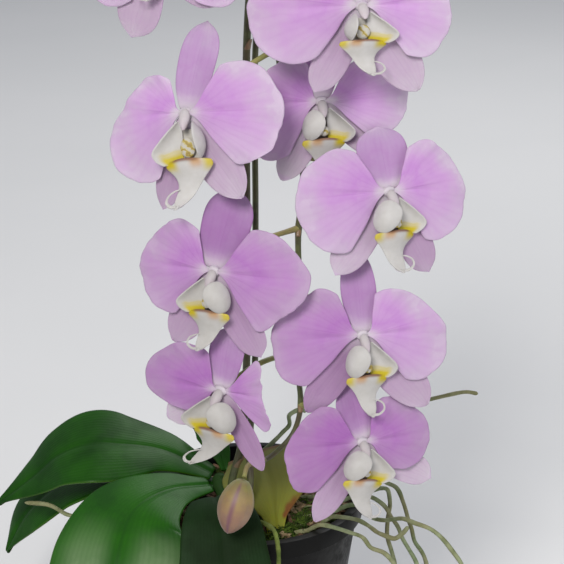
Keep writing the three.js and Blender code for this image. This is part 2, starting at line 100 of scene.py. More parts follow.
# %% [markdown]
# ## Helpers for shapes
#
# Most of a plant is thin sheets and tubes. A sheet starts as Blender's grid. Each of its points is
# moved to where the organ's own formula says, then a Solidify modifier gives it a thickness and a
# Subdivision Surface modifier rounds its rim. The grid brings a map (u along the organ, v across),
# so a skin can follow the organ however it is bent. The back of a sheet gets its own material.
# Pulling each sheet into shape by hand would work for one petal, but there are eighteen.
# A tube is a curve with a round bevel, turned into a mesh. Its points lie on a smooth curve
# through the same places as in the engineering model.


# %% Selecting
def only(piece):
    """Selects one piece alone, because an operator acts on all that is selected."""
    if bpy.context.object and bpy.context.object.mode != "OBJECT":
        bpy.ops.object.mode_set(mode="OBJECT")
    bpy.ops.object.select_all(action="DESELECT")
    piece.select_set(True)
    bpy.context.view_layer.objects.active = piece
    return piece


def edit(piece, *steps):
    """Runs edit mode operators on the whole piece, each given as (operator, options)."""
    only(piece)
    bpy.ops.object.mode_set(mode="EDIT")
    bpy.ops.mesh.select_all(action="SELECT")
    for operator, options in steps:
        operator(**options)
    bpy.ops.object.mode_set(mode="OBJECT")


def select_faces(piece, test):
    """Selects the faces that pass a test, in edit mode."""
    only(piece)
    bpy.ops.object.mode_set(mode="EDIT")
    bpy.ops.mesh.select_all(action="DESELECT")
    bpy.ops.object.mode_set(mode="OBJECT")
    for face in piece.data.polygons:
        face.select = test(face)
    bpy.ops.object.mode_set(mode="EDIT")
    bpy.ops.mesh.select_mode(type="FACE")


def modify(piece, kind, **settings):
    """Adds a modifier and applies it at once."""
    only(piece)
    modifier = piece.modifiers.new(kind.lower(), kind)
    for key, value in settings.items():
        setattr(modifier, key, value)
    bpy.ops.object.modifier_apply(modifier=modifier.name)


def join(pieces, name):
    """Joins pieces into the first one. Each keeps its materials."""
    only(pieces[0])
    for piece in pieces[1:]:
        piece.select_set(True)
    bpy.ops.object.join()
    pieces[0].name = name
    return pieces[0]


def close_up(piece, distance):
    """Merges points that lie together, then turns all faces outwards."""
    merging = (bpy.ops.mesh.remove_doubles, {"threshold": distance})
    edit(piece, merging, (bpy.ops.mesh.normals_make_consistent, {}))


def smooth(piece, angle=None):
    """Shades a piece smooth. Given an angle in degrees, edges sharper than that stay crisp."""
    only(piece)
    if angle is None:
        bpy.ops.object.shade_smooth()
    else:
        bpy.ops.object.shade_smooth_by_angle(angle=math.radians(angle))
    return piece


print("editing helpers ready")


# %% Sheets
def sheet(name, columns, rows, place, thickness, finishes, flip=False):
    """A bent and thickened grid with a front and a back finish.

    place(u, v) bends it, u running from 0 to 1 along the sheet and v from -1 to 1 across it.
    """
    bpy.ops.mesh.primitive_grid_add(x_subdivisions=columns, y_subdivisions=rows, size=1, calc_uvs=True)
    piece = bpy.context.object
    piece.name = name
    for vertex in piece.data.vertices:
        vertex.co = Vector(place(vertex.co.x + 0.5, vertex.co.y * 2)) * MM
    if flip:
        edit(piece, (bpy.ops.mesh.flip_normals, {}))
    for finish in finishes:
        piece.data.materials.append(finish)
    modify(piece, "SOLIDIFY", thickness=thickness * MM, offset=-1, material_offset=len(finishes) - 1)
    modify(piece, "SUBSURF", levels=1, render_levels=1)
    return smooth(piece)


print("sheet helper ready")


# %% Tubes
def through(points, steps):
    """Points of the smooth centripetal curve that runs through given points."""
    marks = [Vector(p) for p in points]
    marks = [2 * marks[0] - marks[1], *marks, 2 * marks[-1] - marks[-2]]
    line = []
    spans = len(points) - 1
    for k in range(steps + 1):
        t = k / steps * spans
        i = min(int(t), spans - 1)
        t -= i
        a, b, c, d = marks[i : i + 4]
        before, here, after = (math.sqrt((q - p).length) for p, q in ((a, b), (b, c), (c, d)))
        start = (b - a) / before - (c - a) / (before + here) + (c - b) / here
        end = (c - b) / here - (d - b) / (here + after) + (d - c) / after
        start, end = start * here, end * here
        square = 3 * (c - b) - 2 * start - end
        cube = 2 * (b - c) + start + end
        line.append(b + start * t + square * t**2 + cube * t**3)
    return line


def length_of(line):
    """Length of a line of points."""
    return sum((a - b).length for a, b in zip(line, line[1:]))


def tubes(name, strands, finish, roundness):
    """One piece of many round tubes with closed ends, each given as a line of points and their radii."""
    curve = bpy.data.curves.new(name, "CURVE")
    curve.dimensions = "3D"
    curve.bevel_depth = MM
    curve.bevel_resolution = roundness
    curve.use_fill_caps = True
    for line, radii in strands:
        spline = curve.splines.new("POLY")
        spline.points.add(len(line) - 1)
        for point, place, radius in zip(spline.points, line, radii):
            point.co = (*(place * MM), 1)
            point.radius = radius
    piece = bpy.data.objects.new(name, curve)
    bpy.context.scene.collection.objects.link(piece)
    only(piece)
    bpy.ops.object.convert(target="MESH")
    close_up(piece, 1e-6)
    piece.data.materials.append(finish)
    return smooth(piece, 50)


def tube(name, line, radii, finish, roundness=2):
    """A single tube."""
    return tubes(name, [(line, radii)], finish, roundness)


def settle(piece, slot, *nodes):
    """Fixes a finished piece in the frame, where it stands for the named nodes of the model."""
    only(piece)
    bpy.ops.object.transform_apply(location=True, rotation=True, scale=True)
    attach(piece, "root")
    if nodes:
        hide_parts(*nodes)
    return piece


print("tube and settling helpers ready")

# %% [markdown]
# ## Helpers for skins
#
# Every skin is drawn by nodes, never by a picture, so it stays sharp however close one looks. Three
# effects serve many skins, so each is a node group: veins that run along an organ, soft patches of
# lighter and darker colour, and a fine grain that breaks up the gloss. A group puts out masks and
# heights only. The shader stays outside. Short words such as times and plus stand for Math nodes.


# %% Node tools
def add(tree, kind, inputs=(), **settings):
    """Adds a node, sets its properties and fills its inputs with values or with other nodes' sockets."""
    made = tree.nodes.new(kind)
    for key, value in settings.items():
        setattr(made, key, value)
    for key, value in dict(inputs).items():
        if isinstance(value, bpy.types.NodeSocket):
            tree.links.new(value, made.inputs[key])
        else:
            made.inputs[key].default_value = value
    return made


def calc(tree, operation, *values, clamp=False):
    """One sum of a Math node."""
    made = add(tree, "ShaderNodeMath", dict(enumerate(values)), operation=operation, use_clamp=clamp)
    return made.outputs[0]


def times(tree, first, *others):
    """The product of all the values."""
    for value in others:
        first = calc(tree, "MULTIPLY", first, value)
    return first


def plus(tree, first, second):
    """The sum of two values."""
    return calc(tree, "ADD", first, second)


def minus(tree, first, second):
    """The difference of two values."""
    return calc(tree, "SUBTRACT", first, second)


def apart(tree, value, centre=0.5):
    """How far a value is from a centre, whichever side it is on."""
    return calc(tree, "ABSOLUTE", minus(tree, value, centre))


def coordinates(tree, kind):
    """Where a point lies: "Object" is its place in space, "UV" its place on the piece's own map."""
    return add(tree, "ShaderNodeTexCoord").outputs[kind]


def split(tree, vector):
    """The three numbers of a vector."""
    return add(tree, "ShaderNodeSeparateXYZ", {0: vector}).outputs


def blend(tree, share, first, second, kind="MIX"):
    """Mixes two colours."""
    first, second = ((*c, 1) if isinstance(c, tuple) else c for c in (first, second))
    mixer = add(tree, "ShaderNodeMix", {0: share, 6: first, 7: second}, data_type="RGBA", blend_type=kind)
    return mixer.outputs[2]


def window(tree, value, low, high, start=0, end=1):
    """A smooth step from start to end while value goes from low to high."""
    inputs = {"Value": value, "From Min": low, "From Max": high, "To Min": start, "To Max": end}
    return add(tree, "ShaderNodeMapRange", inputs, interpolation_type="SMOOTHSTEP").outputs[0]


def ramp(tree, value, *stops):
    """A colour for each value, given as (position, colour) stops."""
    made = add(tree, "ShaderNodeValToRGB", {"Fac": value})
    elements = made.color_ramp.elements
    while len(elements) < len(stops):
        elements.new(0.5)
    for element, (position, colour) in zip(elements, stops):
        element.position = position
        element.color = (*colour, 1)
    return made.outputs["Color"]


def group(name, inputs, outputs):
    """An empty node group with named number inputs (and their usual values) and named outputs."""
    tree = bpy.data.node_groups.new(name, "ShaderNodeTree")
    for label, value in inputs.items():
        socket = tree.interface.new_socket(label, in_out="INPUT", socket_type="NodeSocketFloat")
        socket.default_value = value
    for label in outputs:
        tree.interface.new_socket(label, in_out="OUTPUT", socket_type="NodeSocketFloat")
    return tree, tree.nodes.new("NodeGroupInput").outputs, tree.nodes.new("NodeGroupOutput").inputs


def use(tree, effect, **inputs):
    """Places a node group in a material with its own values."""
    made = add(tree, "ShaderNodeGroup", node_tree=effect)
    for key, value in inputs.items():
        socket = made.inputs[key.replace("_", " ")]
        if isinstance(value, bpy.types.NodeSocket):
            tree.links.new(value, socket)
        else:
            socket.default_value = value
    return made.outputs


def skin(name, **constants):
    """A new material. Its constants go straight to the shader's own sockets."""
    material = bpy.data.materials.new(name)
    material.use_nodes = True
    shader = material.node_tree.nodes["Principled BSDF"]
    for key, value in constants.items():
        shader.inputs[key.replace("_", " ")].default_value = value
    return material, material.node_tree, shader


def relief(tree, shader, height, distance, strength):
    """Turns a height into bumps. The distance is in millimetres."""
    inputs = {"Height": height, "Distance": distance * MM, "Strength": strength}
    tree.links.new(add(tree, "ShaderNodeBump", inputs).outputs[0], shader.inputs["Normal"])


print("node tools ready")


# %% Effect: veins
def make_veins():
    """Thin lines along an organ. They double towards its end, as real veins branch."""
    tree, given, out = group(
        "veins", {"Lines": 9, "Waver": 0.5, "Sharpness": 5, "Branching": 1}, ["Veins", "Along", "Across"])
    place = split(tree, coordinates(tree, "UV"))
    along, across = place[0], place[1]
    clouds = {"Vector": coordinates(tree, "UV"), "Scale": 4, "Detail": 2}
    drift = minus(tree, add(tree, "ShaderNodeTexNoise", clouds).outputs[0], 0.5)
    shift = times(tree, drift, given["Waver"])
    turns = times(tree, plus(tree, times(tree, across, given["Lines"]), shift), math.pi)

    def comb(angle):
        """Sharp crests at every half turn."""
        return calc(tree, "POWER", calc(tree, "ABSOLUTE", calc(tree, "COSINE", angle)), given["Sharpness"])

    branches = times(tree, comb(times(tree, turns, 2)), given["Branching"])
    branches = times(tree, branches, window(tree, along, 0.3, 0.7, 0, 0.7))
    lines = calc(tree, "MAXIMUM", comb(turns), branches)
    fade = times(tree, window(tree, along, 0.02, 0.15), window(tree, along, 0.8, 1, 1, 0.15))
    tree.links.new(times(tree, lines, fade), out["Veins"])
    tree.links.new(along, out["Along"])
    tree.links.new(across, out["Across"])
    return tree


VEINS = make_veins()
print("vein outputs:", [socket.name for socket in VEINS.interface.items_tree if socket.in_out == "OUTPUT"])


# %% Effects: soft patches and grain
def make_patches():
    """Soft clouds of lighter and darker colour. Size is in millimetres."""
    tree, given, out = group("patches", {"Size": 10, "Contrast": 1}, ["Patch"])
    scale = calc(tree, "DIVIDE", 1 / MM, given["Size"])
    clouds = {"Vector": coordinates(tree, "Object"), "Scale": scale, "Detail": 3, "Roughness": 0.6}
    cloud = minus(tree, add(tree, "ShaderNodeTexNoise", clouds).outputs[0], 0.5)
    spread = times(tree, cloud, times(tree, given["Contrast"], 2))
    tree.links.new(calc(tree, "ADD", spread, 0.5, clamp=True), out["Patch"])
    return tree


def make_grain():
    """A fine skin of cells with a little unevenness. Size is the width of a cell in millimetres."""
    tree, given, out = group("grain", {"Size": 0.5}, ["Height"])
    scale = calc(tree, "DIVIDE", 1 / MM, given["Size"])
    where = coordinates(tree, "Object")
    cells = add(tree, "ShaderNodeTexVoronoi", {"Vector": where, "Scale": scale}).outputs["Distance"]
    rough = add(tree, "ShaderNodeTexNoise", {"Vector": where, "Scale": scale, "Detail": 2}).outputs[0]
    tree.links.new(plus(tree, times(tree, cells, 0.6), times(tree, rough, 0.4)), out["Height"])
    return tree


PATCHES = make_patches()
GRAIN = make_grain()


def cloud_mask(tree, size, contrast):
    """The soft patches at a size in millimetres."""
    return use(tree, PATCHES, Size=size, Contrast=contrast)["Patch"]


def cell_grain(tree, size):
    """The height of the grain at a size in millimetres."""
    return use(tree, GRAIN, Size=size)["Height"]


print("effects:", [g.name for g in bpy.data.node_groups])

# %% [markdown]
# ## The floor
#
# A plain pale floor carries the pot. It belongs to the stage and not to the object. It lies a hair
# below the pot's base, so that the two faces don't flicker where they meet.

# %% Floor
FLOOR_DROP = 0.3
bpy.ops.mesh.primitive_plane_add(size=6, location=(0, 0, -FLOOR_DROP * MM))
floor = bpy.context.object
floor.name = "studio_floor"
material, tree, shader = skin("floor_paper", Roughness=0.9)
tone = cloud_mask(tree, 400, 0.6)
tree.links.new(blend(tree, tone, (0.66, 0.66, 0.65), (0.72, 0.71, 0.7)), shader.inputs["Base Color"])
floor.data.materials.append(material)
print("floor side in m:", floor.dimensions.x)

# %% [markdown]
# ## Skins of the flower
#
# A petal is white at its claw, lilac pink over its body and paler towards the rim, with fine darker
# veins that fan out. Its upper half is deeper than its lower half, and a short crease marks the
# middle. The same recipe with other values serves the sepals, which are paler and have fewer veins,
# and the backs, which are paler still. Living tissue lets some light in, so a little subsurface is set.
# No two flowers are equally deep in colour, and the lower flowers and the blades in shade are
# painted deeper still, as painted shade. A material for each would be a lot of copies, so each
# blade carries one number of its own instead, its depth of colour and painted shade, and the skin
# reads it.


# %% Depth of colour and painted shade
def deepen_with_painted_shade(tree, colour, tint, share=1.0):
    """Multiplies a colour by a tint as far as the blade's own number, its depth of colour and painted shade,
    says.
    """
    depth = add(tree, "ShaderNodeAttribute", attribute_type="GEOMETRY", attribute_name="depth_and_painted_shade")
    return blend(tree, times(tree, depth.outputs["Fac"], share), colour, tint, "MULTIPLY")


def mark_depth_and_shade(piece, depth):
    """Writes one number to every point of a blade, its depth of colour and painted shade, for its skin to
    read.
    """
    mark = piece.data.attributes.new("depth_and_painted_shade", "FLOAT", "POINT")
    mark.data.foreach_set("value", [depth] * len(piece.data.vertices))


print("depth of colour runs from 0, pale, to 1, deep")


# %% Petal and sepal skins
CLAW_WHITE = (0.5, 0.44, 0.49)
EDGE_PALE = (0.475, 0.385, 0.485)
DEEP_AND_SHADE_TINT = (0.62, 0.43, 0.64)


def tepal_skin(name, body, deep, rim, vein, lines, vein_strength, lower=0.45, deepest_with_shade=1.0):
    """Skin of a petal or sepal, by its colours from the body to the rim. The claw is always whitish."""
    material, tree, shader = skin(
        name, Sheen_Weight=0.12, Sheen_Roughness=0.4, Specular_IOR_Level=0.25,
        Subsurface_Weight=0.15, Subsurface_Scale=0.0015, Subsurface_Radius=(1, 0.5, 0.9),
    )
    veins = use(tree, VEINS, Lines=lines, Waver=0.45, Sharpness=8, Branching=1)
    along, across = veins["Along"], veins["Across"]
    unrest = minus(tree, cloud_mask(tree, 11, 1.7), 0.5)
    wander = plus(tree, along, times(tree, unrest, window(tree, along, 0.1, 0.4, 0.05, 0.3)))
    colour = ramp(
        tree, wander,
        (0, CLAW_WHITE), (0.05, CLAW_WHITE), (0.15, body), (0.32, deep),
        (0.62, body), (0.92, rim), (1, EDGE_PALE),
    )
    colour = blend(tree, window(tree, across, 0.1, 0.55, lower, 0), colour, rim)
    colour = blend(tree, times(tree, veins["Veins"], vein_strength), colour, vein)
    crease = times(
        tree, window(tree, apart(tree, across), 0, 0.014, 1, 0),
        window(tree, along, 0.3, 0.75, 1, 0), window(tree, along, 0.08, 0.25), 0.35,
    )
    colour = blend(tree, crease, colour, vein)
    # Past the claw the blade deepens by its depth of colour, which holds painted shade as well.
    past_claw = window(tree, along, 0.02, 0.2, 0.4 * deepest_with_shade, deepest_with_shade)
    tree.links.new(deepen_with_painted_shade(tree, colour, DEEP_AND_SHADE_TINT, past_claw), shader.inputs["Base Color"])
    grain = cell_grain(tree, 0.45)
    tree.links.new(window(tree, grain, 0.1, 0.8, 0.5, 0.66), shader.inputs["Roughness"])
    height = minus(tree, times(tree, grain, 0.25), times(tree, veins["Veins"], 0.28))
    relief(tree, shader, height, 0.18, 0.6)
    return material


PETAL_SKINS = [
    tepal_skin(
        "petal_front", body=(0.455, 0.275, 0.485), deep=(0.425, 0.212, 0.475), rim=(0.455, 0.34, 0.47),
        vein=(0.34, 0.13, 0.39), lines=9, vein_strength=0.1),
    tepal_skin(
        "petal_back", body=(0.46, 0.35, 0.47), deep=(0.44, 0.3, 0.455), rim=(0.48, 0.4, 0.485),
        vein=(0.35, 0.17, 0.39), lines=9, vein_strength=0.2, deepest_with_shade=0.5),
]
DORSAL_SKINS = [
    tepal_skin(
        "upper_sepal_front", body=(0.4, 0.27, 0.43), deep=(0.38, 0.225, 0.41), rim=(0.42, 0.33, 0.44),
        vein=(0.33, 0.16, 0.37), lines=5, vein_strength=0.12, lower=0),
    tepal_skin(
        "upper_sepal_back", body=(0.42, 0.34, 0.43), deep=(0.4, 0.3, 0.42), rim=(0.44, 0.38, 0.45),
        vein=(0.35, 0.22, 0.38), lines=5, vein_strength=0.2, lower=0),
]
LATERAL_SKINS = [
    tepal_skin(
        "lower_sepal_front", body=(0.44, 0.36, 0.435), deep=(0.42, 0.325, 0.42), rim=(0.465, 0.41, 0.46),
        vein=(0.35, 0.22, 0.38), lines=5, vein_strength=0.12, lower=0),
    tepal_skin(
        "lower_sepal_back", body=(0.45, 0.39, 0.45), deep=(0.44, 0.36, 0.44), rim=(0.47, 0.42, 0.465),
        vein=(0.37, 0.26, 0.39), lines=5, vein_strength=0.2, lower=0),
]
print("flower skins:", [m.name for m in PETAL_SKINS + DORSAL_SKINS + LATERAL_SKINS])

# %% [markdown]
# ## Skins of the lip
#
# The lip is the white centre of the flower. One side lobe is curled shut and shows its white
# outside, the other stands open and is yellow at the foot of its inside. The middle lobe has yellow
# shoulders, an orange flush and a thin red-brown line across its top. The callus between them is
# white with slanting yellow stripes that are red-brown in their middle, the column is white with a
# breath of pink at its tip, and the mound over the petals' claws is pinkish white. The hollow under
# the column is painted near black where the lobes shut it in, as painted shade, and pale where they
# stand open. The column's own hollow gets the same painted shade. All of them start from one waxy
# white base, so that they look like one flesh, deepened as far as the flower's depth of colour and
# painted shade say.

# %% Lip skins
LIP_WHITE = (0.455, 0.438, 0.425)
LIP_SHADE = (0.39, 0.372, 0.345)
LIP_DEEP_AND_SHADE_TINT = (0.74, 0.73, 0.7)
YELLOW = (0.42, 0.33, 0.005)
ORANGE = (0.4, 0.2, 0.05)
RUST = (0.16, 0.07, 0.035)


def lip_skin(name):
    """The waxy white base that every part of the lip shares."""
    material, tree, shader = skin(
        name, Roughness=0.55, Specular_IOR_Level=0.3,
        Subsurface_Weight=0.15, Subsurface_Scale=0.0015, Subsurface_Radius=(1, 0.9, 0.8),
    )
    veins = use(tree, VEINS, Lines=6, Waver=0.8, Sharpness=4, Branching=0.4)
    colour = blend(tree, times(tree, cloud_mask(tree, 4, 1.2), 0.6), LIP_WHITE, LIP_SHADE)
    # The lip deepens by its flower's depth of colour, which holds painted shade as well.
    colour = deepen_with_painted_shade(tree, colour, LIP_DEEP_AND_SHADE_TINT)
    relief(tree, shader, times(tree, cell_grain(tree, 0.35), 0.2), 0.15, 0.6)
    return material, tree, shader, veins, colour


def plain_skin(name, tint=LIP_WHITE, share=0.0):
    """Lip white all over, or leaning towards one tint."""
    material, tree, shader, _, colour = lip_skin(name)
    tree.links.new(blend(tree, share, colour, tint), shader.inputs["Base Color"])
    return material


def open_lobe_skin():
    """Inside of the open side lobe: yellow at its lower inner part, with a thin rust line below it."""
    material, tree, shader, veins, colour = lip_skin("open_lobe_inside")
    along, across = veins["Along"], veins["Across"]
    ragged = plus(tree, across, times(tree, veins["Veins"], -0.05))
    patch = times(tree, window(tree, ragged, 0.12, 0.46, 1, 0), window(tree, along, 0.65, 0.9, 1, 0))
    colour = blend(tree, patch, colour, YELLOW)
    line = times(tree, window(tree, across, 0.04, 0.15, 0.85, 0), window(tree, along, 0.25, 0.6, 1, 0))
    tree.links.new(blend(tree, line, colour, RUST), shader.inputs["Base Color"])
    return material


def middle_skin(name, strength):
    """Skin of the middle lobe: yellow shoulders, orange flush and a red-brown line over white."""
    material, tree, shader, veins, colour = lip_skin(name)
    along, across = veins["Along"], veins["Across"]
    near_side = window(tree, apart(tree, across, 0.32), 0.03, 0.2, 0.8, 0)
    flush = times(tree, near_side, window(tree, along, 0.04, 0.28, strength, 0))
    colour = blend(tree, flush, colour, ORANGE)
    ends = plus(tree, window(tree, across, 0.66, 0.84), window(tree, across, 0.08, 0.24, 0.9, 0))
    shoulder = times(tree, ends, window(tree, along, 0.1, 0.32, strength, 0))
    colour = blend(tree, shoulder, colour, YELLOW)
    far_side = window(tree, apart(tree, across, 0.55), 0.2, 0.36, 1, 0)
    line = times(tree, window(tree, along, 0.02, 0.09, 0.9 * strength, 0), far_side)
    tree.links.new(blend(tree, line, colour, RUST), shader.inputs["Base Color"])
    return material


# %% Callus and column skins
def callus_skin():
    """White with slanting yellow stripes that have a red-brown middle."""
    material, tree, shader, _, colour = lip_skin("callus")
    waves = {"Scale": 130, "Distortion": 4, "Detail": 3, "Detail Scale": 4}
    waves["Vector"] = coordinates(tree, "Object")
    stripes = add(tree, "ShaderNodeTexWave", waves, bands_direction="DIAGONAL").outputs["Fac"]
    colour = blend(tree, window(tree, stripes, 0.3, 0.85, 0.1, 0.8), colour, YELLOW)
    colour = blend(tree, window(tree, stripes, 0.75, 1, 0, 0.5), colour, RUST)
    tree.links.new(colour, shader.inputs["Base Color"])
    return material


def column_skin():
    """White, blushing pink towards the tip."""
    material, tree, shader, veins, colour = lip_skin("column")
    blush = window(tree, veins["Across"], 0.3, 0.95, 0.15, 0.5)
    tree.links.new(blend(tree, blush, colour, (0.48, 0.36, 0.44)), shader.inputs["Base Color"])
    return material


MIDDLE_SKINS = [middle_skin("middle_lobe_front", 1), middle_skin("middle_lobe_back", 0.4)]
OPEN_SKINS = [open_lobe_skin(), plain_skin("open_lobe_outside")]
PLAIN_LIP = plain_skin("lip_white")
CLAW_MOUND = plain_skin("claw_mound", (0.49, 0.43, 0.48), 0.8)
# Near black: painted shade in the hollow under the column and between the shut lobes.
THROAT_PAINTED_SHADE = plain_skin("throat", (0.05, 0.025, 0.015), 0.93)
OPEN_THROAT = plain_skin("open_throat", (0.42, 0.39, 0.33), 0.6)
CALLUS = callus_skin()
COLUMN = column_skin()
LIP_SKINS = MIDDLE_SKINS + OPEN_SKINS + [PLAIN_LIP, CLAW_MOUND, THROAT_PAINTED_SHADE, OPEN_THROAT, CALLUS, COLUMN]
print("lip skins:", [m.name for m in LIP_SKINS])

# %% [markdown]
# ## The lip and column, modelled once for each hand
#
# The lip is modelled in the flower's own frame: x to the viewer's right, y up and z towards the
# viewer. The lobe on the near side is curled shut like an egg shell, and the one on the far side
# stands open like a wing. Flowers that face right and left need mirrored lips. The second and third
# flowers show a wide open one, whose curled lobe stands aside and bares the callus. So four masters
# are built, and each flower gets a copy with its own mesh. The column starts as a sphere that is
# stretched, and its hollow is an inset pushed inwards. A low mound covers the place where the
# petals' claws meet. The lobes are sheets: a grid squeezed into a disk, a wing between two edges,
# and a kite with shoulders. Two thin tendrils curl back from the tip of the middle lobe.


# %% A smooth value between evenly spaced ones
def between(values, share):
    """The smooth value at a share from 0 to 1 of a list of evenly spaced values."""
    spot = share * (len(values) - 1)
    k = min(int(spot), len(values) - 2)
    t = spot - k
    b, c = values[k], values[k + 1]
    a, d = values[max(k - 1, 0)], values[min(k + 2, len(values) - 1)]
    return b + t / 2 * (c - a + t * (2 * a - 5 * b + 4 * c - d + t * (3 * (b - c) + d - a)))


print("halfway through 0, 4, 6 in mm:", between((0, 4, 6), 0.5))


# %% The column
COLUMN_LEAN = math.radians(50)


def ball(finish, centre, size, lean=0.0, hollow=False):
    """A sphere drawn out to a rounded body. With hollow it gets the sticky hollow of a column's tip."""
    bpy.ops.mesh.primitive_uv_sphere_add(segments=20, ring_count=14, radius=1, calc_uvs=True)
    piece = bpy.context.object
    for vertex in piece.data.vertices:
        x, y, z = vertex.co
        swell = 1 - 0.18 * z if hollow else 1
        vertex.co = Vector((x * size[0] * swell, y * size[1] * swell, z * size[2])) * MM
    piece.data.materials.append(finish)
    if hollow:
        # The hollow of the column's tip gets the near black throat skin, painted shade.
        piece.data.materials.append(THROAT_PAINTED_SHADE)
        tip = 0.45 * size[2] * MM
        select_faces(piece, lambda f: f.center.z > tip and f.normal.y < -0.7 and f.normal.z < 0.7)
        bpy.ops.mesh.inset(thickness=0.2 * MM)
        bpy.ops.transform.translate(value=(0, 0.7 * MM, 0))
        piece.active_material_index = 1
        bpy.ops.object.material_slot_assign()
        bpy.ops.object.mode_set(mode="OBJECT")
        modify(piece, "SUBSURF", levels=1, render_levels=1)
    smooth(piece)
    piece.data.transform(Matrix.Translation(Vector(centre) * MM) @ Matrix.Rotation(lean, 4, "X"))
    return piece


print("column leans forward by degrees:", round(math.degrees(COLUMN_LEAN)))


# %% The lobes
def disk(a, b):
    """Where a point of a square lies on the round disk that the square is squeezed into."""
    return a * math.sqrt(1 - b * b / 2), b * math.sqrt(1 - a * a / 2)


def curled_lobe(facing, middle):
    """place(u, v) of the shut lobe, an egg shell. Its outside faces an angle from the front."""
    turn, roll = math.radians(facing), math.radians(32)
    outward = Vector((-math.sin(turn), 0, math.cos(turn)))
    forward = Vector((math.cos(turn), 0, math.sin(turn)))
    long = Vector((0, 1, 0)) * math.cos(roll) + forward * math.sin(roll) - outward * 0.14
    short = forward * math.cos(roll) - Vector((0, 1, 0)) * math.sin(roll)

    def place(u, v):
        a, b = disk(u * 2 - 1, v)
        wide = 6 * (1 + 0.12 * b)
        bulge = 3.4 * (1 - a * a - b * b) - 1.2
        return middle + short * (a * wide) + long * (b * 7.6) + outward * bulge

    return place


WING_RIM = [
    (10.4, -18.8, 4.4), (13, -16.6, 6), (14, -13.8, 7), (10.4, -9.4, 6.4), (6.6, -5.8, 5), (3, -2.6, 3.2)]
WING_FOOT = [
    (1.4, -17.4, 4.6), (1.4, -14.6, 3.8), (1.4, -11.8, 3.2), (1.4, -8.8, 2.8), (1.4, -5.8, 2.4), (1, -3, 2.2)]
WING_STEPS = 32
RIM_LINE, FOOT_LINE = through(WING_RIM, WING_STEPS), through(WING_FOOT, WING_STEPS)


def open_lobe(u, v):
    """The open lobe, a hollow wing between its foot (u = 0) and its rim (u = 1), v from bottom to top."""
    k = round((v + 1) / 2 * WING_STEPS)
    spot = FOOT_LINE[k].lerp(RIM_LINE[k], u)
    dip = 1.7 * math.sin(math.pi * u) * math.cos(v * math.pi / 2) - 0.5 * u**6
    return spot - Vector((-0.4, 0.3, 0.86)) * dip


MIDDLE_HALVES = (9.2, 9.8, 8.2, 6.4, 5.1, 4.3, 3.7, 2.6, 0.5)


def middle_lobe(u, v):
    """The middle lobe, from its arched shoulders down to its narrow tip."""
    half = between(MIDDLE_HALVES, u) * (1 + 0.12 * max(0, -v) * (1 - u) ** 3)
    arch = v * v * (1 - u) ** 3
    rise = 1.3 * arch if v < 0 else 0
    bend = 2.2 * u**3 - 0.9 * math.sin(math.pi * u)
    keel = 1.2 * math.cos(v * math.pi / 2) * math.sin(math.pi * min(u + 0.25, 1))
    depth = between((6.2, 5.6, 4.6, 3.8, 3.4, 3.6, 4.4, 5.6, 7), u)
    return v * half + bend, -15.6 - 2.2 * arch + rise - 19 * u, depth - 2.6 * arch + rise + keel


def throat(u, v):
    """The hollow between the lobes, under the column."""
    return v * (4 - 0.4 * u) - 1.6 * u, -5.5 - 12 * u, 2.2 + 2.6 * u * u - 1.2 * (1 - v * v)


# Two tendrils: a long loop and a short hook.
TENDRILS = [
    [(2.4, -33.6, 6.6), (4.6, -33.4, 7.2), (7, -31.6, 7), (6.8, -29.4, 6.2), (5, -28, 5.4),
     (3, -27.4, 4.6)],
    [(1.4, -33.6, 6.4), (0.2, -33.4, 5), (-0.8, -32, 3.8), (-0.4, -30.4, 3.2)],
]
print("open lobe rim in mm:", round(length_of(RIM_LINE)), "foot:", round(length_of(FOOT_LINE)))


# %% The whole lip
TENDRIL_STEPS = 20


def make_lip(name, facing=45, spread=False, mirrored=False):
    """All parts of lip and column in one mesh, in the flower's frame. A spread lip bares its callus."""
    column_foot = (0, -1.8, 3.6) if spread else (0, -2.7, 3.2)
    lobe_middle = Vector((-6.2, -9.6, 5.4) if spread else (-6, -9.6, 7))
    callus_place = (-0.8, -12.2, 4.8) if spread else (-0.4, -12.4, 6.4)
    callus_size = (3.1, 3.8, 1.1) if spread else (2.3, 2.4, 1.8)
    parts = [
        ball(COLUMN, column_foot, (2.3, 1.9, 4.8), COLUMN_LEAN, hollow=True),
        ball(CLAW_MOUND, (0, 0.2, 0.2), (3.1, 2.3, 1.2)),
        ball(CALLUS, callus_place, callus_size),
        sheet("middle", 18, 14, middle_lobe, 0.8, MIDDLE_SKINS),
        sheet("curled", 14, 14, curled_lobe(facing, lobe_middle), 0.8, [PLAIN_LIP]),
        sheet("open", 12, 32, open_lobe, 0.7, OPEN_SKINS),
        # Under a shut lip the throat sheet carries painted shade, near black; under an open lip it is pale.
        sheet("throat", 8, 6, throat, 0.6, [OPEN_THROAT if spread else THROAT_PAINTED_SHADE]),
    ]
    for points in TENDRILS:
        radii = [0.45 * (1 - k / TENDRIL_STEPS) ** 0.6 + 0.2 for k in range(TENDRIL_STEPS + 1)]
        parts.append(tube("tendril", through(points, TENDRIL_STEPS), radii, PLAIN_LIP, 1))
    lip = join(parts, name)
    if mirrored:
        lip.data.transform(Matrix.Scale(-1, 4, (1, 0, 0)))
        close_up(lip, 1e-7)
    print(name, "faces:", len(lip.data.polygons))
    return lip


lip_masters = {
    "right": make_lip("lip_right"),
    "left": make_lip("lip_left", mirrored=True),
    "right_spread": make_lip("lip_right_spread", facing=90, spread=True),
    "left_spread": make_lip("lip_left_spread", facing=98, spread=True, mirrored=True),
}
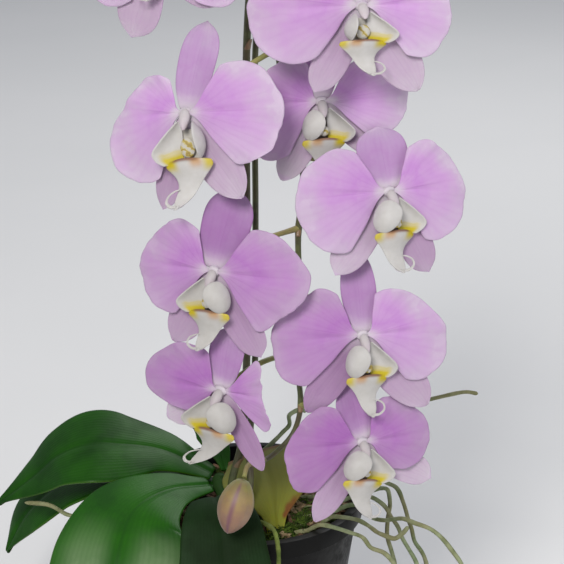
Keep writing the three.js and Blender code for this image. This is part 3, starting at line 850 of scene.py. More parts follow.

# %% [markdown]
# ## The nine flowers
#
# Each flower has its own place, size and turn, and its own petals and sepals. A petal is a fan. It
# has a lowest and a highest angle, nine reaches from its claw to its rim at even steps between them,
# the angle by which its lower rim rolls forward, and its depth of colour. A sepal has an angle round
# the flower, a length, half a width and its depth of colour. A lip has its hand, a turn, a roll, a
# factor for its width and one for its height, how far its tip sways to the viewer's right, and its
# depth of colour. Each depth of colour is partly the flower's own deeper colour and partly painted
# shade: the lower flowers and the blades that lie in shade get more. One flower copied nine times
# would be quicker, but real ones differ, and it shows.
# The rims ripple, and the lower rim of a petal is unevenly toothed. No two blades get the same waves.

# %% Flower measures
# The last number of each petal, sepal and lip is its depth of colour: partly its own colour, partly painted
# shade on the lower flowers and the blades that lie in shade.
FLOWERS = [
    dict(at=(-36.5, -62, 375), size=0.98, turn=-21, tip=4, roll=4, stem=(9, -22, 384.3),
         lip=("left", -10, 0, 0.9, 0.6, 0, 0),
         left=(-67, 70, (27, 32, 35, 36, 36, 34, 31, 27, 21), 20, 0.2),
         right=(-55, 65, (30, 38, 40, 39, 38, 36, 33, 29, 23), 20, 0.2),
         sepals=((90, 36, 9.5, 0.2), (248, 40.5, 10.5, 0.35), (318, 35, 8, 0.4))),
    dict(at=(48.5, -76, 354.5), size=1.05, turn=3, tip=5, roll=1.5, stem=(14, -37, 352),
         lip=("right_spread", 6, 0, 0.95, 0.76, 1, 0),
         left=(-53, 68, (28, 36, 40.5, 42.5, 40.5, 37.5, 33, 28.5, 21.5), 20, 0.25),
         right=(-55, 67, (27.5, 32, 33, 33, 31, 30, 28.5, 26.5, 20.5), 15, 0),
         sepals=((90, 36, 10, 0.3), (240, 39, 7.2, 0.4), (303, 41, 9, 0.2))),
    dict(at=(-25, -62, 305.5), size=1.05, turn=-25, tip=8, roll=9, stem=(14.5, -33, 326),
         lip=("left_spread", 14, 0, 1, 1.1, -4, 0),
         left=(-67, 81, (32, 37.5, 38.5, 34, 26, 22, 20.5, 18, 15), 40, 0),
         right=(-51, 50, (31, 34, 37.5, 39, 40, 39, 36, 32, 26.5), 20, 0.1),
         sepals=((74, 38, 8.6, 0.15), (247, 43, 6.5, 0.6), (300, 41, 9.6, 0.25))),
    dict(at=(33, -50, 307.5), size=0.94, turn=-4, tip=6, roll=4, stem=(25, -4, 324), spike="back",
         lip=("right", 10, 0, 1, 1, 0, 0.2),
         left=(-61, 83, (31.5, 38, 34, 31, 29, 27, 25, 23, 19), 10, 0.3),
         right=(-44, 57, (25, 32, 35, 36.5, 37, 35, 32, 28, 22), 15, 0),
         sepals=((90, 36, 9, 0.2), (240, 42, 7.8, 0), (318, 40, 8.5, 0))),
    dict(at=(62, -66, 272), size=1, turn=14, tip=10, roll=0, stem=(24.3, -33, 279),
         lip=("right", 14, 0, 1, 1, 0, 0),
         left=(-59, 56, (33, 35.5, 38, 38.5, 38.5, 37, 33, 29.5, 24), 20, 0.2),
         right=(-61, 73, (29, 31.5, 33, 32.5, 30.5, 28.5, 27, 25.5, 21), 15, 0.1),
         sepals=((96, 28, 11.8, 0.3), (235, 43, 8.6, 0.2), (296, 41.5, 8.2, 0.6))),
    dict(at=(-14, -66, 235.5), size=1.01, turn=-19, tip=7, roll=-1, stem=(23, -35.5, 246),
         lip=("left", -4, 0, 1, 1, -1, 0.4),
         left=(-58, 75, (28, 30, 31.5, 32, 31, 28.5, 27, 25, 19.5), 20, 0.5),
         right=(-54, 56, (33.5, 33.5, 35, 39.5, 40.5, 37, 33.5, 30, 26.5), 20, 0.6),
         sepals=((80, 37, 11.4, 0.8), (242, 39.5, 8.5, 0.6), (302, 43, 8.6, 0.65))),
    dict(at=(51.5, -70, 207), size=1, turn=4, tip=7, roll=3, stem=(25, -39, 214),
         lip=("right", 12, 0, 0.95, 1.04, -1, 0.2),
         left=(-44, 69, (35.5, 38, 38.5, 37.5, 36.5, 32.5, 29, 27.5, 23), 20, 0.65),
         right=(-56, 80, (30.5, 34, 36, 35, 31.5, 27.5, 25.5, 22.5, 20.5), 15, 0.15),
         sepals=((92, 38, 7.8, 0.5), (232, 43.5, 7.6, 0.9), (308, 45, 9.6, 0.4))),
    dict(at=(-11.5, -70, 180.5), size=0.88, turn=-19, tip=5, roll=-3, stem=(23.8, -38.5, 187),
         lip=("left", -10, 0, 1.22, 1.16, -6, 0.5),
         left=(-65, 77, (15, 18, 26.5, 37, 40, 35, 31, 25, 21), 20, 0.8),
         right=(-40, 53, (32.5, 29, 24, 21, 19.5, 20.5, 21, 24.5, 26.5), 10, 0.55),
         sepals=((88, 33, 9.4, 0.5), (216, 36, 9, 0.1), (302, 47, 6.2, 0.85))),
    dict(at=(52, -74, 157), size=0.93, turn=15, tip=12, roll=1, stem=(24, -39, 160),
         lip=("right", 10, -8, 1.08, 1.04, 1, 0.3),
         left=(-46, 63, (35, 37.5, 37.5, 36, 33.5, 30.5, 28.5, 25.5, 22), 20, 0.95),
         right=(-60, 81, (18, 23.5, 29.5, 31, 31.5, 28, 25.5, 23.5, 18.5), 15, 0.75),
         sepals=((97, 29, 9, 0.6), (235, 45, 7.2, 0.55), (326, 42, 8.5, 0.1))),
]
print("flowers:", len(FLOWERS))


# %% Petals and sepals
BLADE_THICKNESS = 0.6
CUP_REACH = 36
SEPAL_OUTLINE = (0.4, 0.72, 0.92, 1, 1, 0.93, 0.8)


def petal_formula(low, high, reaches, curl, phase, side):
    """place(u, v) of a petal on one side, side being 1 for the viewer's right and -1 for the left."""
    middle, span = math.radians((low + high) / 2), math.radians((high - low) / 2)

    def place(u, v):
        theta = middle + v * span * (0.84 + 0.16 * min(u * 2.2, 1))
        edge = between(reaches, (v + 1) / 2) * (1 - 0.11 * abs(v) ** 10)
        edge *= 1 + 0.01 * math.sin(13 * theta + 2 * phase)
        edge += noise.noise(Vector((theta * 17, phase, 3))) * (0.9 if v < 0 else 0.5)
        # past three quarters of its reach the lower rim rolls forward on a round bend
        outer = max(0, u / 0.25 - 3)
        roll = math.radians(curl) * math.exp(-(((v + 0.6) / 0.28) ** 2)) * outer + 1e-4
        past_fold = 0.25 * edge * outer
        reach = 0.3 + (edge - 0.3) * min(u, 0.75) + past_fold * math.sin(roll) / roll
        # the blade is cupped, creased along its middle and rippled towards its rim
        q = reach / CUP_REACH
        height = 1.1 + 4.2 * q - 7 * q * q
        height -= 0.8 * math.exp(-((theta / 0.1) ** 2)) * math.sin(math.pi * min(u / 0.85, 1)) ** 2
        height += u**4 * (0.8 * math.sin(8 * theta + phase) + 0.3 * math.sin(21 * theta + 3 * phase))
        height += past_fold * (1 - math.cos(roll)) / roll
        claw = 2.8 - 1.5 * max(0, 1 - u / 0.16) ** 2
        return side * (claw + reach * math.cos(theta)), 0.6 + reach * math.sin(theta), height

    return place


def sepal_formula(angle, length, half_width, lean, phase):
    """place(u, v) of a sepal, a blunt blade that leans back and has a low ridge along its middle."""
    axis = math.radians(angle)

    def place(u, v):
        u = 1 - (1 - u) ** 1.6
        reach = 1 + (length - 1) * u - 0.03 * length * v * v * u**8
        blunt = math.sqrt(1.002 - u**8)
        across = v * (half_width * between(SEPAL_OUTLINE, u) * blunt * (1 + 0.03 * math.sin(9 * u + phase)))
        height = -0.5 - lean * u * u - 0.35 * math.exp(-((v / 0.16) ** 2)) * math.sin(math.pi * u)
        height += 0.6 * v * v * u * u * math.sin(5 * u + phase)
        return (
            reach * math.cos(axis) - across * math.sin(axis),
            reach * math.sin(axis) + across * math.cos(axis),
            height,
        )

    return place


def flower_matrix(flower):
    """Turns the flower's own frame into the plant's frame."""
    turn, rise, roll = (math.radians(a) for a in (flower["turn"], 90 - flower["tip"], flower["roll"]))
    facing = Matrix.Rotation(turn, 4, "Z") @ Matrix.Rotation(rise, 4, "X") @ Matrix.Rotation(roll, 4, "Z")
    return Matrix.Translation(Vector(flower["at"]) * MM) @ facing @ Matrix.Scale(flower["size"], 4)


def make_hub():
    """The small cone behind the flower that holds the sepals."""
    bpy.ops.mesh.primitive_cone_add(
        vertices=20, radius1=1.7 * MM, radius2=3 * MM, depth=2.8 * MM, location=(0, 0, -1.7 * MM))
    hub = bpy.context.object
    bpy.ops.object.transform_apply(location=True)
    modify(hub, "BEVEL", width=0.5 * MM, segments=3)
    hub.data.materials.append(LATERAL_SKINS[1])
    return smooth(hub)


print("first petal's farthest reach in mm:", max(FLOWERS[0]["left"][2]))


# %% Building the flowers
def sway_tip(lip, sway):
    """Moves the lower part of a lip sideways, more the lower it lies."""
    for vertex in lip.data.vertices:
        vertex.co.x += sway * MM * max(0, (-vertex.co.y / MM - 20) / 14) ** 2


chance = random.Random(7)
for number, flower in enumerate(FLOWERS, 1):
    matrix = flower_matrix(flower)
    blades = [make_hub()]
    for k, (*measures, depth) in enumerate(flower["sepals"]):
        upper = k == 0
        formula = sepal_formula(*measures, 6 if upper else 3, chance.uniform(0, 6))
        skins = DORSAL_SKINS if upper else LATERAL_SKINS
        blades.append(sheet("blade", 14, 12, formula, BLADE_THICKNESS, skins))
        mark_depth_and_shade(blades[-1], depth)
    sepals = join(blades, f"sepals_{number}")
    sepals.data.transform(matrix)
    settle(sepals, "sepal", f"flower_{number}_sepals")
    for side, word in ((-1, "left"), (1, "right")):
        *measures, depth = flower[word]
        formula = petal_formula(*measures, chance.uniform(0, 6), side)
        petal = sheet("petal", 14, 40, formula, BLADE_THICKNESS, PETAL_SKINS, flip=side < 0)
        petal.name = f"petal_{number}_{word}"
        mark_depth_and_shade(petal, depth)
        petal.data.transform(matrix)
        settle(petal, "petal", f"flower_{number}_petal_{word}")
    hand, lip_turn, lip_roll, widen, stretch, sway, depth = flower["lip"]
    only(lip_masters[hand])
    bpy.ops.object.duplicate(linked=False)
    lip = bpy.context.object
    lip.name = f"lip_and_column_{number}"
    mark_depth_and_shade(lip, depth)
    sway_tip(lip, sway)
    shape = Matrix.Diagonal((widen, stretch, widen, 1))
    shape = Matrix.Rotation(math.radians(lip_turn), 4, "Y") @ shape
    shape = Matrix.Rotation(math.radians(lip_roll), 4, "Z") @ shape
    lip.data.transform(matrix @ shape)
    settle(lip, "lip", f"flower_{number}_lip_and_column")
    faces = [len(piece.data.polygons) for piece in (sepals, petal, petal, lip)]
    print("flower", number, "faces:", sum(faces))
for master in lip_masters.values():
    bpy.data.objects.remove(master)

# %% [markdown]
# ## Skins of stalks, leaves and roots
#
# A spike is olive green with a brown flush. A leaf is dark and glossy, with fine lines along it, a
# dark groove down its middle and a thin pale rim. The front leaf is a lighter, lit copy with a
# painted highlight, a pale band where it bends down, and the front right leaf is a darker, duller
# copy, painted shade. A root is wrapped in a dull silvery coat that shows green through it. All are
# built like the petal skins: a colour between two tones in patches, lines over it, and a bump for the
# relief. The light on a leaf could be left to the gloss alone, but the painted highlight stays
# visible from every side.


# %% Stalk skin
def stalk_skin(name, light, dark, flush):
    """Waxy stalk: two greens in patches with a brown flush."""
    material, tree, shader = skin(
        name, Roughness=0.42, Coat_Weight=0.1, Coat_Roughness=0.3,
        Subsurface_Weight=0.05, Subsurface_Scale=0.001,
    )
    patch = cloud_mask(tree, 6, 2)
    colour = blend(tree, patch, light, dark)
    blush = cloud_mask(tree, 17, 2.2)
    tree.links.new(blend(tree, times(tree, blush, 0.55), colour, flush), shader.inputs["Base Color"])
    relief(tree, shader, cell_grain(tree, 0.6), 0.1, 0.5)
    return material


SPIKE_SKIN = stalk_skin("spike", (0.09, 0.11, 0.03), (0.05, 0.055, 0.02), (0.07, 0.04, 0.02))
PEDICEL_SKIN = stalk_skin("flower_stalk", (0.26, 0.27, 0.07), (0.16, 0.18, 0.04), (0.22, 0.13, 0.08))
BRACT_SKIN = stalk_skin("bract", (0.2, 0.14, 0.06), (0.13, 0.08, 0.035), (0.22, 0.12, 0.07))
print("stalk skins:", [m.name for m in (SPIKE_SKIN, PEDICEL_SKIN, BRACT_SKIN)])


# %% Leaf skins
# Colour of the painted highlight on the front leaf, a pale band where it bends down.
PAINTED_GLOSS_COLOUR = (0.12, 0.19, 0.085)


def leaf_skin(name, body, dark, rim, roughness, coat, gloss=0.12, painted_gloss=0.0):
    """Leaf blade: fine lines along it, patches, a dark groove along the middle and a thin pale rim."""
    material, tree, shader = skin(name, Coat_Weight=coat, Coat_Roughness=0.22, Specular_IOR_Level=gloss)
    lines = use(tree, VEINS, Lines=26, Waver=1.5, Sharpness=2, Branching=0.5)
    patch = cloud_mask(tree, 24, 1.8)
    colour = blend(tree, patch, body, dark)
    colour = blend(tree, times(tree, lines["Veins"], 0.22), colour, dark)
    middle = apart(tree, lines["Across"])
    colour = blend(tree, window(tree, middle, 0, 0.03, 0.5, 0), colour, dark)
    colour = blend(tree, window(tree, middle, 0.483, 0.5, 0, 0.55), colour, rim)
    # Painted highlight: a pale band across the leaf where it bends down, faint at the middle and the rim.
    if painted_gloss:
        lit = times(
            tree, window(tree, lines["Along"], 0.43, 0.61), window(tree, middle, 0.02, 0.2, 0, painted_gloss),
            window(tree, middle, 0.3, 0.48, 1, 0.15), window(tree, lines["Veins"], 0, 1, 1, 0.9),
            window(tree, patch, 0.1, 0.8, 0.7, 1),
        )
        colour = blend(tree, lit, colour, PAINTED_GLOSS_COLOUR)
    tree.links.new(colour, shader.inputs["Base Color"])
    fine = cell_grain(tree, 0.7)
    uneven = plus(tree, times(tree, patch, 0.12), roughness)
    tree.links.new(plus(tree, uneven, times(tree, fine, 0.05)), shader.inputs["Roughness"])
    height = plus(tree, times(tree, lines["Veins"], 0.5), times(tree, fine, 0.25))
    relief(tree, shader, height, 0.12, 0.6)
    return material


LEAF_UNDER = leaf_skin(
    "leaf_under", body=(0.02, 0.055, 0.01), dark=(0.012, 0.035, 0.006), rim=(0.05, 0.1, 0.02),
    roughness=0.55, coat=0)
LEAF_UPPER = leaf_skin(
    "leaf_upper", body=(0.011, 0.066, 0.002), dark=(0.005, 0.036, 0.001), rim=(0.05, 0.12, 0.01),
    roughness=0.34, coat=0.04)
# The front leaf's skin is a lit copy: a lighter body and a painted highlight.
LIT_LEAF_UPPER = leaf_skin(
    "lit_leaf_upper", body=(0.014, 0.085, 0.003), dark=(0.007, 0.05, 0.002), rim=(0.06, 0.14, 0.015),
    roughness=0.34, coat=0.06, painted_gloss=0.92)
# The front right leaf's skin is a shaded copy, darker and duller: painted shade.
SHADED_LEAF_UPPER = leaf_skin(
    "shade_painted_leaf_upper", body=(0.008, 0.026, 0.006), dark=(0.005, 0.014, 0.003), rim=(0.02, 0.04, 0.006),
    roughness=0.5, coat=0, gloss=0.08)
print("leaf skins:", [m.name for m in (LEAF_UNDER, LEAF_UPPER, LIT_LEAF_UPPER, SHADED_LEAF_UPPER)])

# %% [markdown]
# The old leaf is dying back: yellow green with faint darker lines that rise from its neck, a
# stronger yellow in the neck, a brown dried line at its top and a red-brown spot. The spot is the
# distance from one place on the leaf's own map, made ragged by the patches.


# %% Old leaf skin
def old_leaf_skin(name, spot):
    """A yellowing leaf with a dried top rim and one red-brown spot at a place of its map."""
    material, tree, shader = skin(
        name, Roughness=0.6, Specular_IOR_Level=0.2, Subsurface_Weight=0.12, Subsurface_Scale=0.002)
    lines = use(tree, VEINS, Lines=14, Waver=1.2, Sharpness=3, Branching=0.5)
    patch = cloud_mask(tree, 14, 1.6)
    colour = ramp(
        tree, lines["Along"],
        (0, (0.2, 0.2, 0.003)), (0.3, (0.18, 0.19, 0.006)),
        (0.6, (0.155, 0.16, 0.025)), (1, (0.14, 0.145, 0.04)),
    )
    colour = blend(tree, times(tree, patch, 0.35), colour, (0.13, 0.14, 0.035))
    colour = blend(tree, times(tree, lines["Veins"], 0.1), colour, (0.12, 0.12, 0.03))
    ends = {0: coordinates(tree, "UV"), 1: (*spot, 0)}
    distance = add(tree, "ShaderNodeVectorMath", ends, operation="DISTANCE").outputs["Value"]
    near = plus(tree, distance, times(tree, minus(tree, patch, 0.5), 0.12))
    colour = blend(tree, window(tree, near, 0.03, 0.16, 0.92, 0), colour, (0.13, 0.038, 0.008))
    dried = plus(tree, lines["Along"], times(tree, patch, 0.03))
    colour = blend(tree, window(tree, dried, 0.97, 1, 0, 0.85), colour, (0.12, 0.055, 0.03))
    tree.links.new(colour, shader.inputs["Base Color"])
    height = plus(tree, times(tree, lines["Veins"], 0.4), times(tree, patch, 0.4))
    relief(tree, shader, height, 0.25, 0.5)
    return material


OLD_LEAF = old_leaf_skin("old_leaf", spot=(0.37, 0.08))
print("old leaf nodes:", len(OLD_LEAF.node_tree.nodes))


# %% Root skin
def root_skin(name, light, dark, tan):
    """A dull silvery coat with greener and browner stretches and fine speckles."""
    material, tree, shader = skin(name, Roughness=0.85, Specular_IOR_Level=0.25)
    patch = cloud_mask(tree, 5, 2.4)
    stretch = cloud_mask(tree, 30, 3)
    colour = blend(tree, patch, light, dark)
    colour = blend(tree, times(tree, stretch, 0.6), colour, tan)
    speck = cell_grain(tree, 0.8)
    colour = blend(tree, window(tree, speck, 0.15, 0.35, 0.3, 0), colour, dark)
    tree.links.new(colour, shader.inputs["Base Color"])
    relief(tree, shader, plus(tree, speck, times(tree, patch, 2)), 0.25, 0.7)
    return material


ROOT_SKIN = root_skin("root", (0.23, 0.27, 0.15), (0.12, 0.155, 0.07), (0.2, 0.165, 0.08))
GREEN_ROOT = root_skin("green_root", (0.12, 0.16, 0.03), (0.06, 0.09, 0.015), (0.1, 0.1, 0.03))
print("root skins:", ROOT_SKIN.name, GREEN_ROOT.name)

# %% [markdown]
# ## Flower spikes
#
# A spike is one long stalk that tapers from its foot to its end. At each place where a flower's own
# stalk leaves it there is a knuckle with a small dry scale. The flower stalks swell towards the
# flower, because the seed vessel sits there. Curves with a bevel suit them better than extruded
# rings, because a few given places give the whole bend. One spike with its stalks is one piece.

# %% Spike routes
FRONT_SPIKE = [
    (-9, -27, 92), (-9, -29, 98), (-8, -28, 115), (-3.7, -24, 131.5), (-1, -12, 170), (-0.5, -8, 240),
    (0, -6, 322), (3, -8, 362), (7, -16, 383), (11, -28, 383), (14, -34, 362), (14.6, -33, 323),
    (20, -32, 297), (25.3, -32, 271.5), (23.2, -35, 241), (24.5, -38, 205), (23.5, -38, 176),
    (24.5, -39, 158), (21, -41, 146), (13, -47, 139), (6, -54, 137),
]
BACK_SPIKE = [
    (-2, -26, 92), (-2.3, -30, 99), (-0.7, -33.5, 106), (0.8, -33, 116), (0.4, -26, 131), (3, -9, 170),
    (3.5, -3, 240), (4, 0, 322), (8, 3, 354), (15, 4, 366), (22, 1, 358), (25, -3, 338), (25, -4, 316),
]
BUD_STALK = [(8, -52, 137.5), (3.5, -58, 140), (0, -64, 140), (-1.35, -67.9, 136.6)]
print("places on the spikes:", len(FRONT_SPIKE), len(BACK_SPIKE))


def knuckle(line, place, radius):
    """A dry scale that clasps the spike at a place, pointing along it."""
    k = min(range(len(line) - 1), key=lambda i: (line[i] - place).length)
    along = (line[k + 1] - line[k]).normalized()
    aside = (place - line[k]).normalized() if (place - line[k]).length > 0.5 else Vector((0, -1, 0))
    side = along.cross(aside).normalized()
    aside = side.cross(along).normalized()

    def scale_leaf(u, v):
        turn = v * 1.5 * (1 - u * 0.75)
        reach = radius + 0.25 + 0.9 * u * u
        return line[k] + along * (5 * u - 1.5) + (aside * math.cos(turn) + side * math.sin(turn)) * reach

    return sheet("scale", 6, 8, scale_leaf, 0.35, [BRACT_SKIN], flip=True)


PEDICEL_STEPS = 20


def pedicel(flower, line):
    """The stalk of one flower, from the nearest point of its spike to the back of the flower."""
    matrix = flower_matrix(flower)
    stem = min(line, key=lambda p: (p - Vector(flower["stem"])).length)
    behind = [matrix @ (Vector((0, 0, z)) * MM) / MM for z in (-12, -2.8)]
    bend = stem.lerp(behind[0], 0.55) + Vector((0, 0, 3))
    route = through([stem, bend, *behind], PEDICEL_STEPS)
    radii = []
    for k in range(PEDICEL_STEPS + 1):
        foot = 0.35 * math.exp(-((k / 1.6) ** 2))
        radii.append(1.25 + 0.55 * (k / PEDICEL_STEPS) ** 2 + foot)
    return stem, tube("flower_stalk", route, radii, PEDICEL_SKIN)


print("stalk helpers ready")


# %% Building the spikes
def make_spike(which, route, steps, foot, tip, extra=()):
    """A tapering spike with its knuckles and flower stalks."""
    line = through(route, steps)
    parts = []
    places = []
    for flower in (f for f in FLOWERS if f.get("spike", "front") == which):
        stem, stalk = pedicel(flower, line)
        places.append(stem)
        parts.append(stalk)
        parts.append(knuckle(line, stem + Vector((0, -1, 0)), foot * 0.62))
    for height in (0.13, 0.3):
        parts.append(knuckle(line, line[int(steps * height)] + Vector((1, -1, 0)), foot * 0.85))
    radii = []
    for k, point in enumerate(line):
        knots = sum(math.exp(-(((point - p).length / 3) ** 2)) for p in places)
        radii.append(foot + (tip - foot) * k / steps + 0.28 * min(knots, 1))
    parts.insert(0, tube(which, line, radii, SPIKE_SKIN, 3))
    for points, wide in extra:
        parts.append(tube("end", through(points, 16), [wide] * 17, PEDICEL_SKIN))
    spike = join(parts, f"flower_spike_{which}")
    print(spike.name, "length in mm:", round(length_of(line)))
    return settle(spike, "spike", f"spike_{which}")


make_spike("front", FRONT_SPIKE, 160, 1.95, 1.15, [(BUD_STALK, 1.15)])
make_spike("back", BACK_SPIKE, 100, 1.8, 1.15)

# %% [markdown]
# ## The bud
#
# One closed bud hangs at the end of the front spike. It starts as a sphere, whose points are moved
# onto a blunt egg that comes to a point below. Three shallow seams show where the sepals meet, and a
# mauve line runs down each. Its top is green, the rest is beige with a pink flush.


# %% Bud skin
def bud_skin():
    """Beige and pink, green at the stalk, with a mauve line along the seams."""
    material, tree, shader = skin(
        "bud", Roughness=0.5, Sheen_Weight=0.15, Subsurface_Weight=0.12, Subsurface_Scale=0.002)
    place = split(tree, coordinates(tree, "UV"))
    patch = cloud_mask(tree, 5, 1.8)
    colour = ramp(
        tree, place[1],
        (0, (0.19, 0.085, 0.055)), (0.35, (0.23, 0.13, 0.07)),
        (0.7, (0.24, 0.17, 0.05)), (1, (0.16, 0.17, 0.03)),
    )
    colour = blend(tree, times(tree, patch, 0.4), colour, (0.15, 0.075, 0.065))
    third = apart(tree, calc(tree, "FRACT", times(tree, place[0], 3)))
    seam = times(tree, window(tree, third, 0, 0.12, 0.8, 0), window(tree, place[1], 0.85, 1, 1, 0))
    tree.links.new(blend(tree, seam, colour, (0.12, 0.04, 0.07)), shader.inputs["Base Color"])
    relief(tree, shader, cell_grain(tree, 0.5), 0.12, 0.5)
    return material


BUD_SKIN = bud_skin()
print("bud skin nodes:", len(BUD_SKIN.node_tree.nodes))

# %% Bud
BUD_RADIUS = 8.2
BUD_TOP = Vector((-1.5, -68, 136))
BUD_FOOT = Vector((-9, -74, 111))
bpy.ops.mesh.primitive_uv_sphere_add(segments=36, ring_count=24, radius=1, calc_uvs=True)
bud = bpy.context.object
bud.name = "closed_bud"
bud_length = (BUD_TOP - BUD_FOOT).length
for vertex in bud.data.vertices:
    x, y, z = vertex.co
    share = 1 - math.acos(max(-1, min(1, z))) / math.pi
    radius = BUD_RADIUS * math.sin(math.pi * share) ** (0.68 - 0.18 * share)
    turn = math.atan2(y, x)
    seam = abs(((turn / math.tau * 3) % 1) - 0.5)
    radius *= 1 - 0.06 * math.exp(-((seam / 0.06) ** 2))
    vertex.co = Vector((radius * math.cos(turn), radius * math.sin(turn), bud_length * share)) * MM
bud.data.materials.append(BUD_SKIN)
smooth(bud)
hang = (BUD_TOP - BUD_FOOT).normalized().to_track_quat("Z", "Y").to_matrix().to_4x4()
bud.data.transform(Matrix.Translation(BUD_FOOT * MM) @ hang @ Matrix.Rotation(math.radians(8), 4, "Z"))
settle(bud, "bud", "bud")
print("bud length in mm:", round(bud_length, 1))

# %% [markdown]
# ## Leaves
#
# A leaf is a strap that follows its midrib. Its half width is given at each point of the midrib, and
# its two halves rise from the midrib as a shallow trough. The midrib itself is a narrow groove above
# and a ridge below. The rim waves a little, and the end is rounded. A flat outline that is bent
# afterwards would stretch in the bends, so the sheet is laid along its midrib from the start.
# Each leaf has its midrib, its half widths to both sides, the direction it faces and its trough.

# %% Leaf measures
LEAVES = {
    "leaf_left": (
        [(-18, 0.5, 105), (-43, 6, 115), (-64, 4, 119), (-80, 3, 119.5), (-95, 2, 114),
         (-107, 1.5, 103.5), (-127, 0, 88)],
        ([5, 15, 25, 27, 22, 14, 1],) * 2, (0, -0.27, 1), 0.06),
    "leaf_front": (
        [(-19, -10.5, 104.5), (-40, -24, 108), (-55, -40.5, 105), (-61, -62, 91), (-64, -80, 68),
         (-66, -92, 42)],
        ([5, 14, 24, 31, 27, 2], [5, 15, 30, 38, 35, 4]), (0.1, -0.3, 1), 0.06),
    "leaf_front_right": (
        [(-15.5, -18, 98), (-18, -25, 99), (-17.5, -33, 107), (-15.5, -42, 113.5), (-13, -54, 111),
         (-11, -66, 99), (-9, -79, 78), (-7, -88, 52)],
        ([4, 5, 6, 12, 17.5, 20.5, 21, 2],) * 2, (0, -0.2, 1), 0.06),
    "leaf_back_left": (
        [(-17, -2.5, 99.5), (-46, 12, 102), (-74, 20, 99), (-96, 20, 90), (-114, 16, 75), (-126, 12, 54)],
        ([5, 14, 21, 20, 15, 1],) * 2, (0, -0.15, 1), 0.05),
    "leaf_young": (
        [(-12, 4.5, 104.5), (-16, 13, 113), (-23, 18, 120), (-30, 21, 123)],
        ([2.5, 6, 6.5, 1],) * 2, (0.3, -0.6, 1), 0.12),
    "leaf_old": (
        [(13, -40, 90.2), (12.5, -37, 97), (12, -33, 101), (10, -22, 110), (7, -11, 115), (4, 1, 117)],
        ([4, 5, 8, 20, 22, 16],) * 2, (0, -0.8, 0.6), 0.02),
}
LEAF_STEPS = 240
print("leaves:", list(LEAVES))


# %% Building the leaves
def leaf_formula(rib, halves, up, fold, phase):
    """place(u, v) of a leaf blade along its midrib. The halves are its widths to both sides of it."""
    line = through(rib, LEAF_STEPS)
    facing = Vector(up).normalized()

    def place(u, v):
        k = min(int(u * LEAF_STEPS), LEAF_STEPS - 1)
        t = u * LEAF_STEPS - k
        spot = line[k].lerp(line[k + 1], t)
        along = (line[min(k + 2, LEAF_STEPS)] - line[max(k - 2, 0)]).normalized()
        side = facing.cross(along).normalized()
        normal = along.cross(side).normalized()
        half = between(halves[v > 0], u)
        lift = fold * half * abs(v) - 0.1 * half * v * v - 0.7 * math.exp(-((v * half / 1.1) ** 2))
        lift += 0.5 * v * v * math.sin(9 * u + 2 * v + phase)
        return spot + side * (v * half) + normal * lift

    return place


def leaf_skins(name):
    """Front and back skin of a leaf."""
    if name == "leaf_old":
        return [OLD_LEAF]
    upper = {"leaf_front_right": SHADED_LEAF_UPPER, "leaf_front": LIT_LEAF_UPPER}.get(name, LEAF_UPPER)
    return [upper, LEAF_UNDER]


for k, (name, (rib, halves, up, fold)) in enumerate(LEAVES.items()):
    old = name == "leaf_old"
    formula = leaf_formula(rib, halves, up, fold, k * 1.7)
    blade = sheet(f"{name}_blade", 48, 22, formula, 1.1 if old else 1.8, leaf_skins(name))
    settle(blade, "old_leaf" if old else "leaf", name)
    print(name, "length in mm:", round(length_of(through(rib, LEAF_STEPS))))

# %% [markdown]
# ## Short stem
#
# The leaves sit on a stem that is only a finger wide and hidden between their feet. A short tube that
# swells and narrows a little along its length is enough.

# %% Stem
STEM = [(-8, -17, 92), (-8, -17, 94), (-12, -11, 99), (-14.5, -6, 103), (-14.5, -3, 105)]
STEM_STEPS = 24
stem_line = through(STEM, STEM_STEPS)
stem_radii = [4.5 + 0.3 * math.sin(k * 1.3) - 1.4 * (k / STEM_STEPS) ** 4 for k in range(STEM_STEPS + 1)]
settle(tube("short_stem", stem_line, stem_radii, LEAF_UNDER, 4), "leaf", "plant_stem")
print("stem length in mm:", round(length_of(stem_line)))

# %% [markdown]
# ## Roots
#
# Air roots wander out of the pot and hang over its rim. A root is a tube whose thickness changes
# slowly along it and that ends in a blunt tip. A little noise moves each point of its line, because a
# perfectly smooth curve would look like a wire.

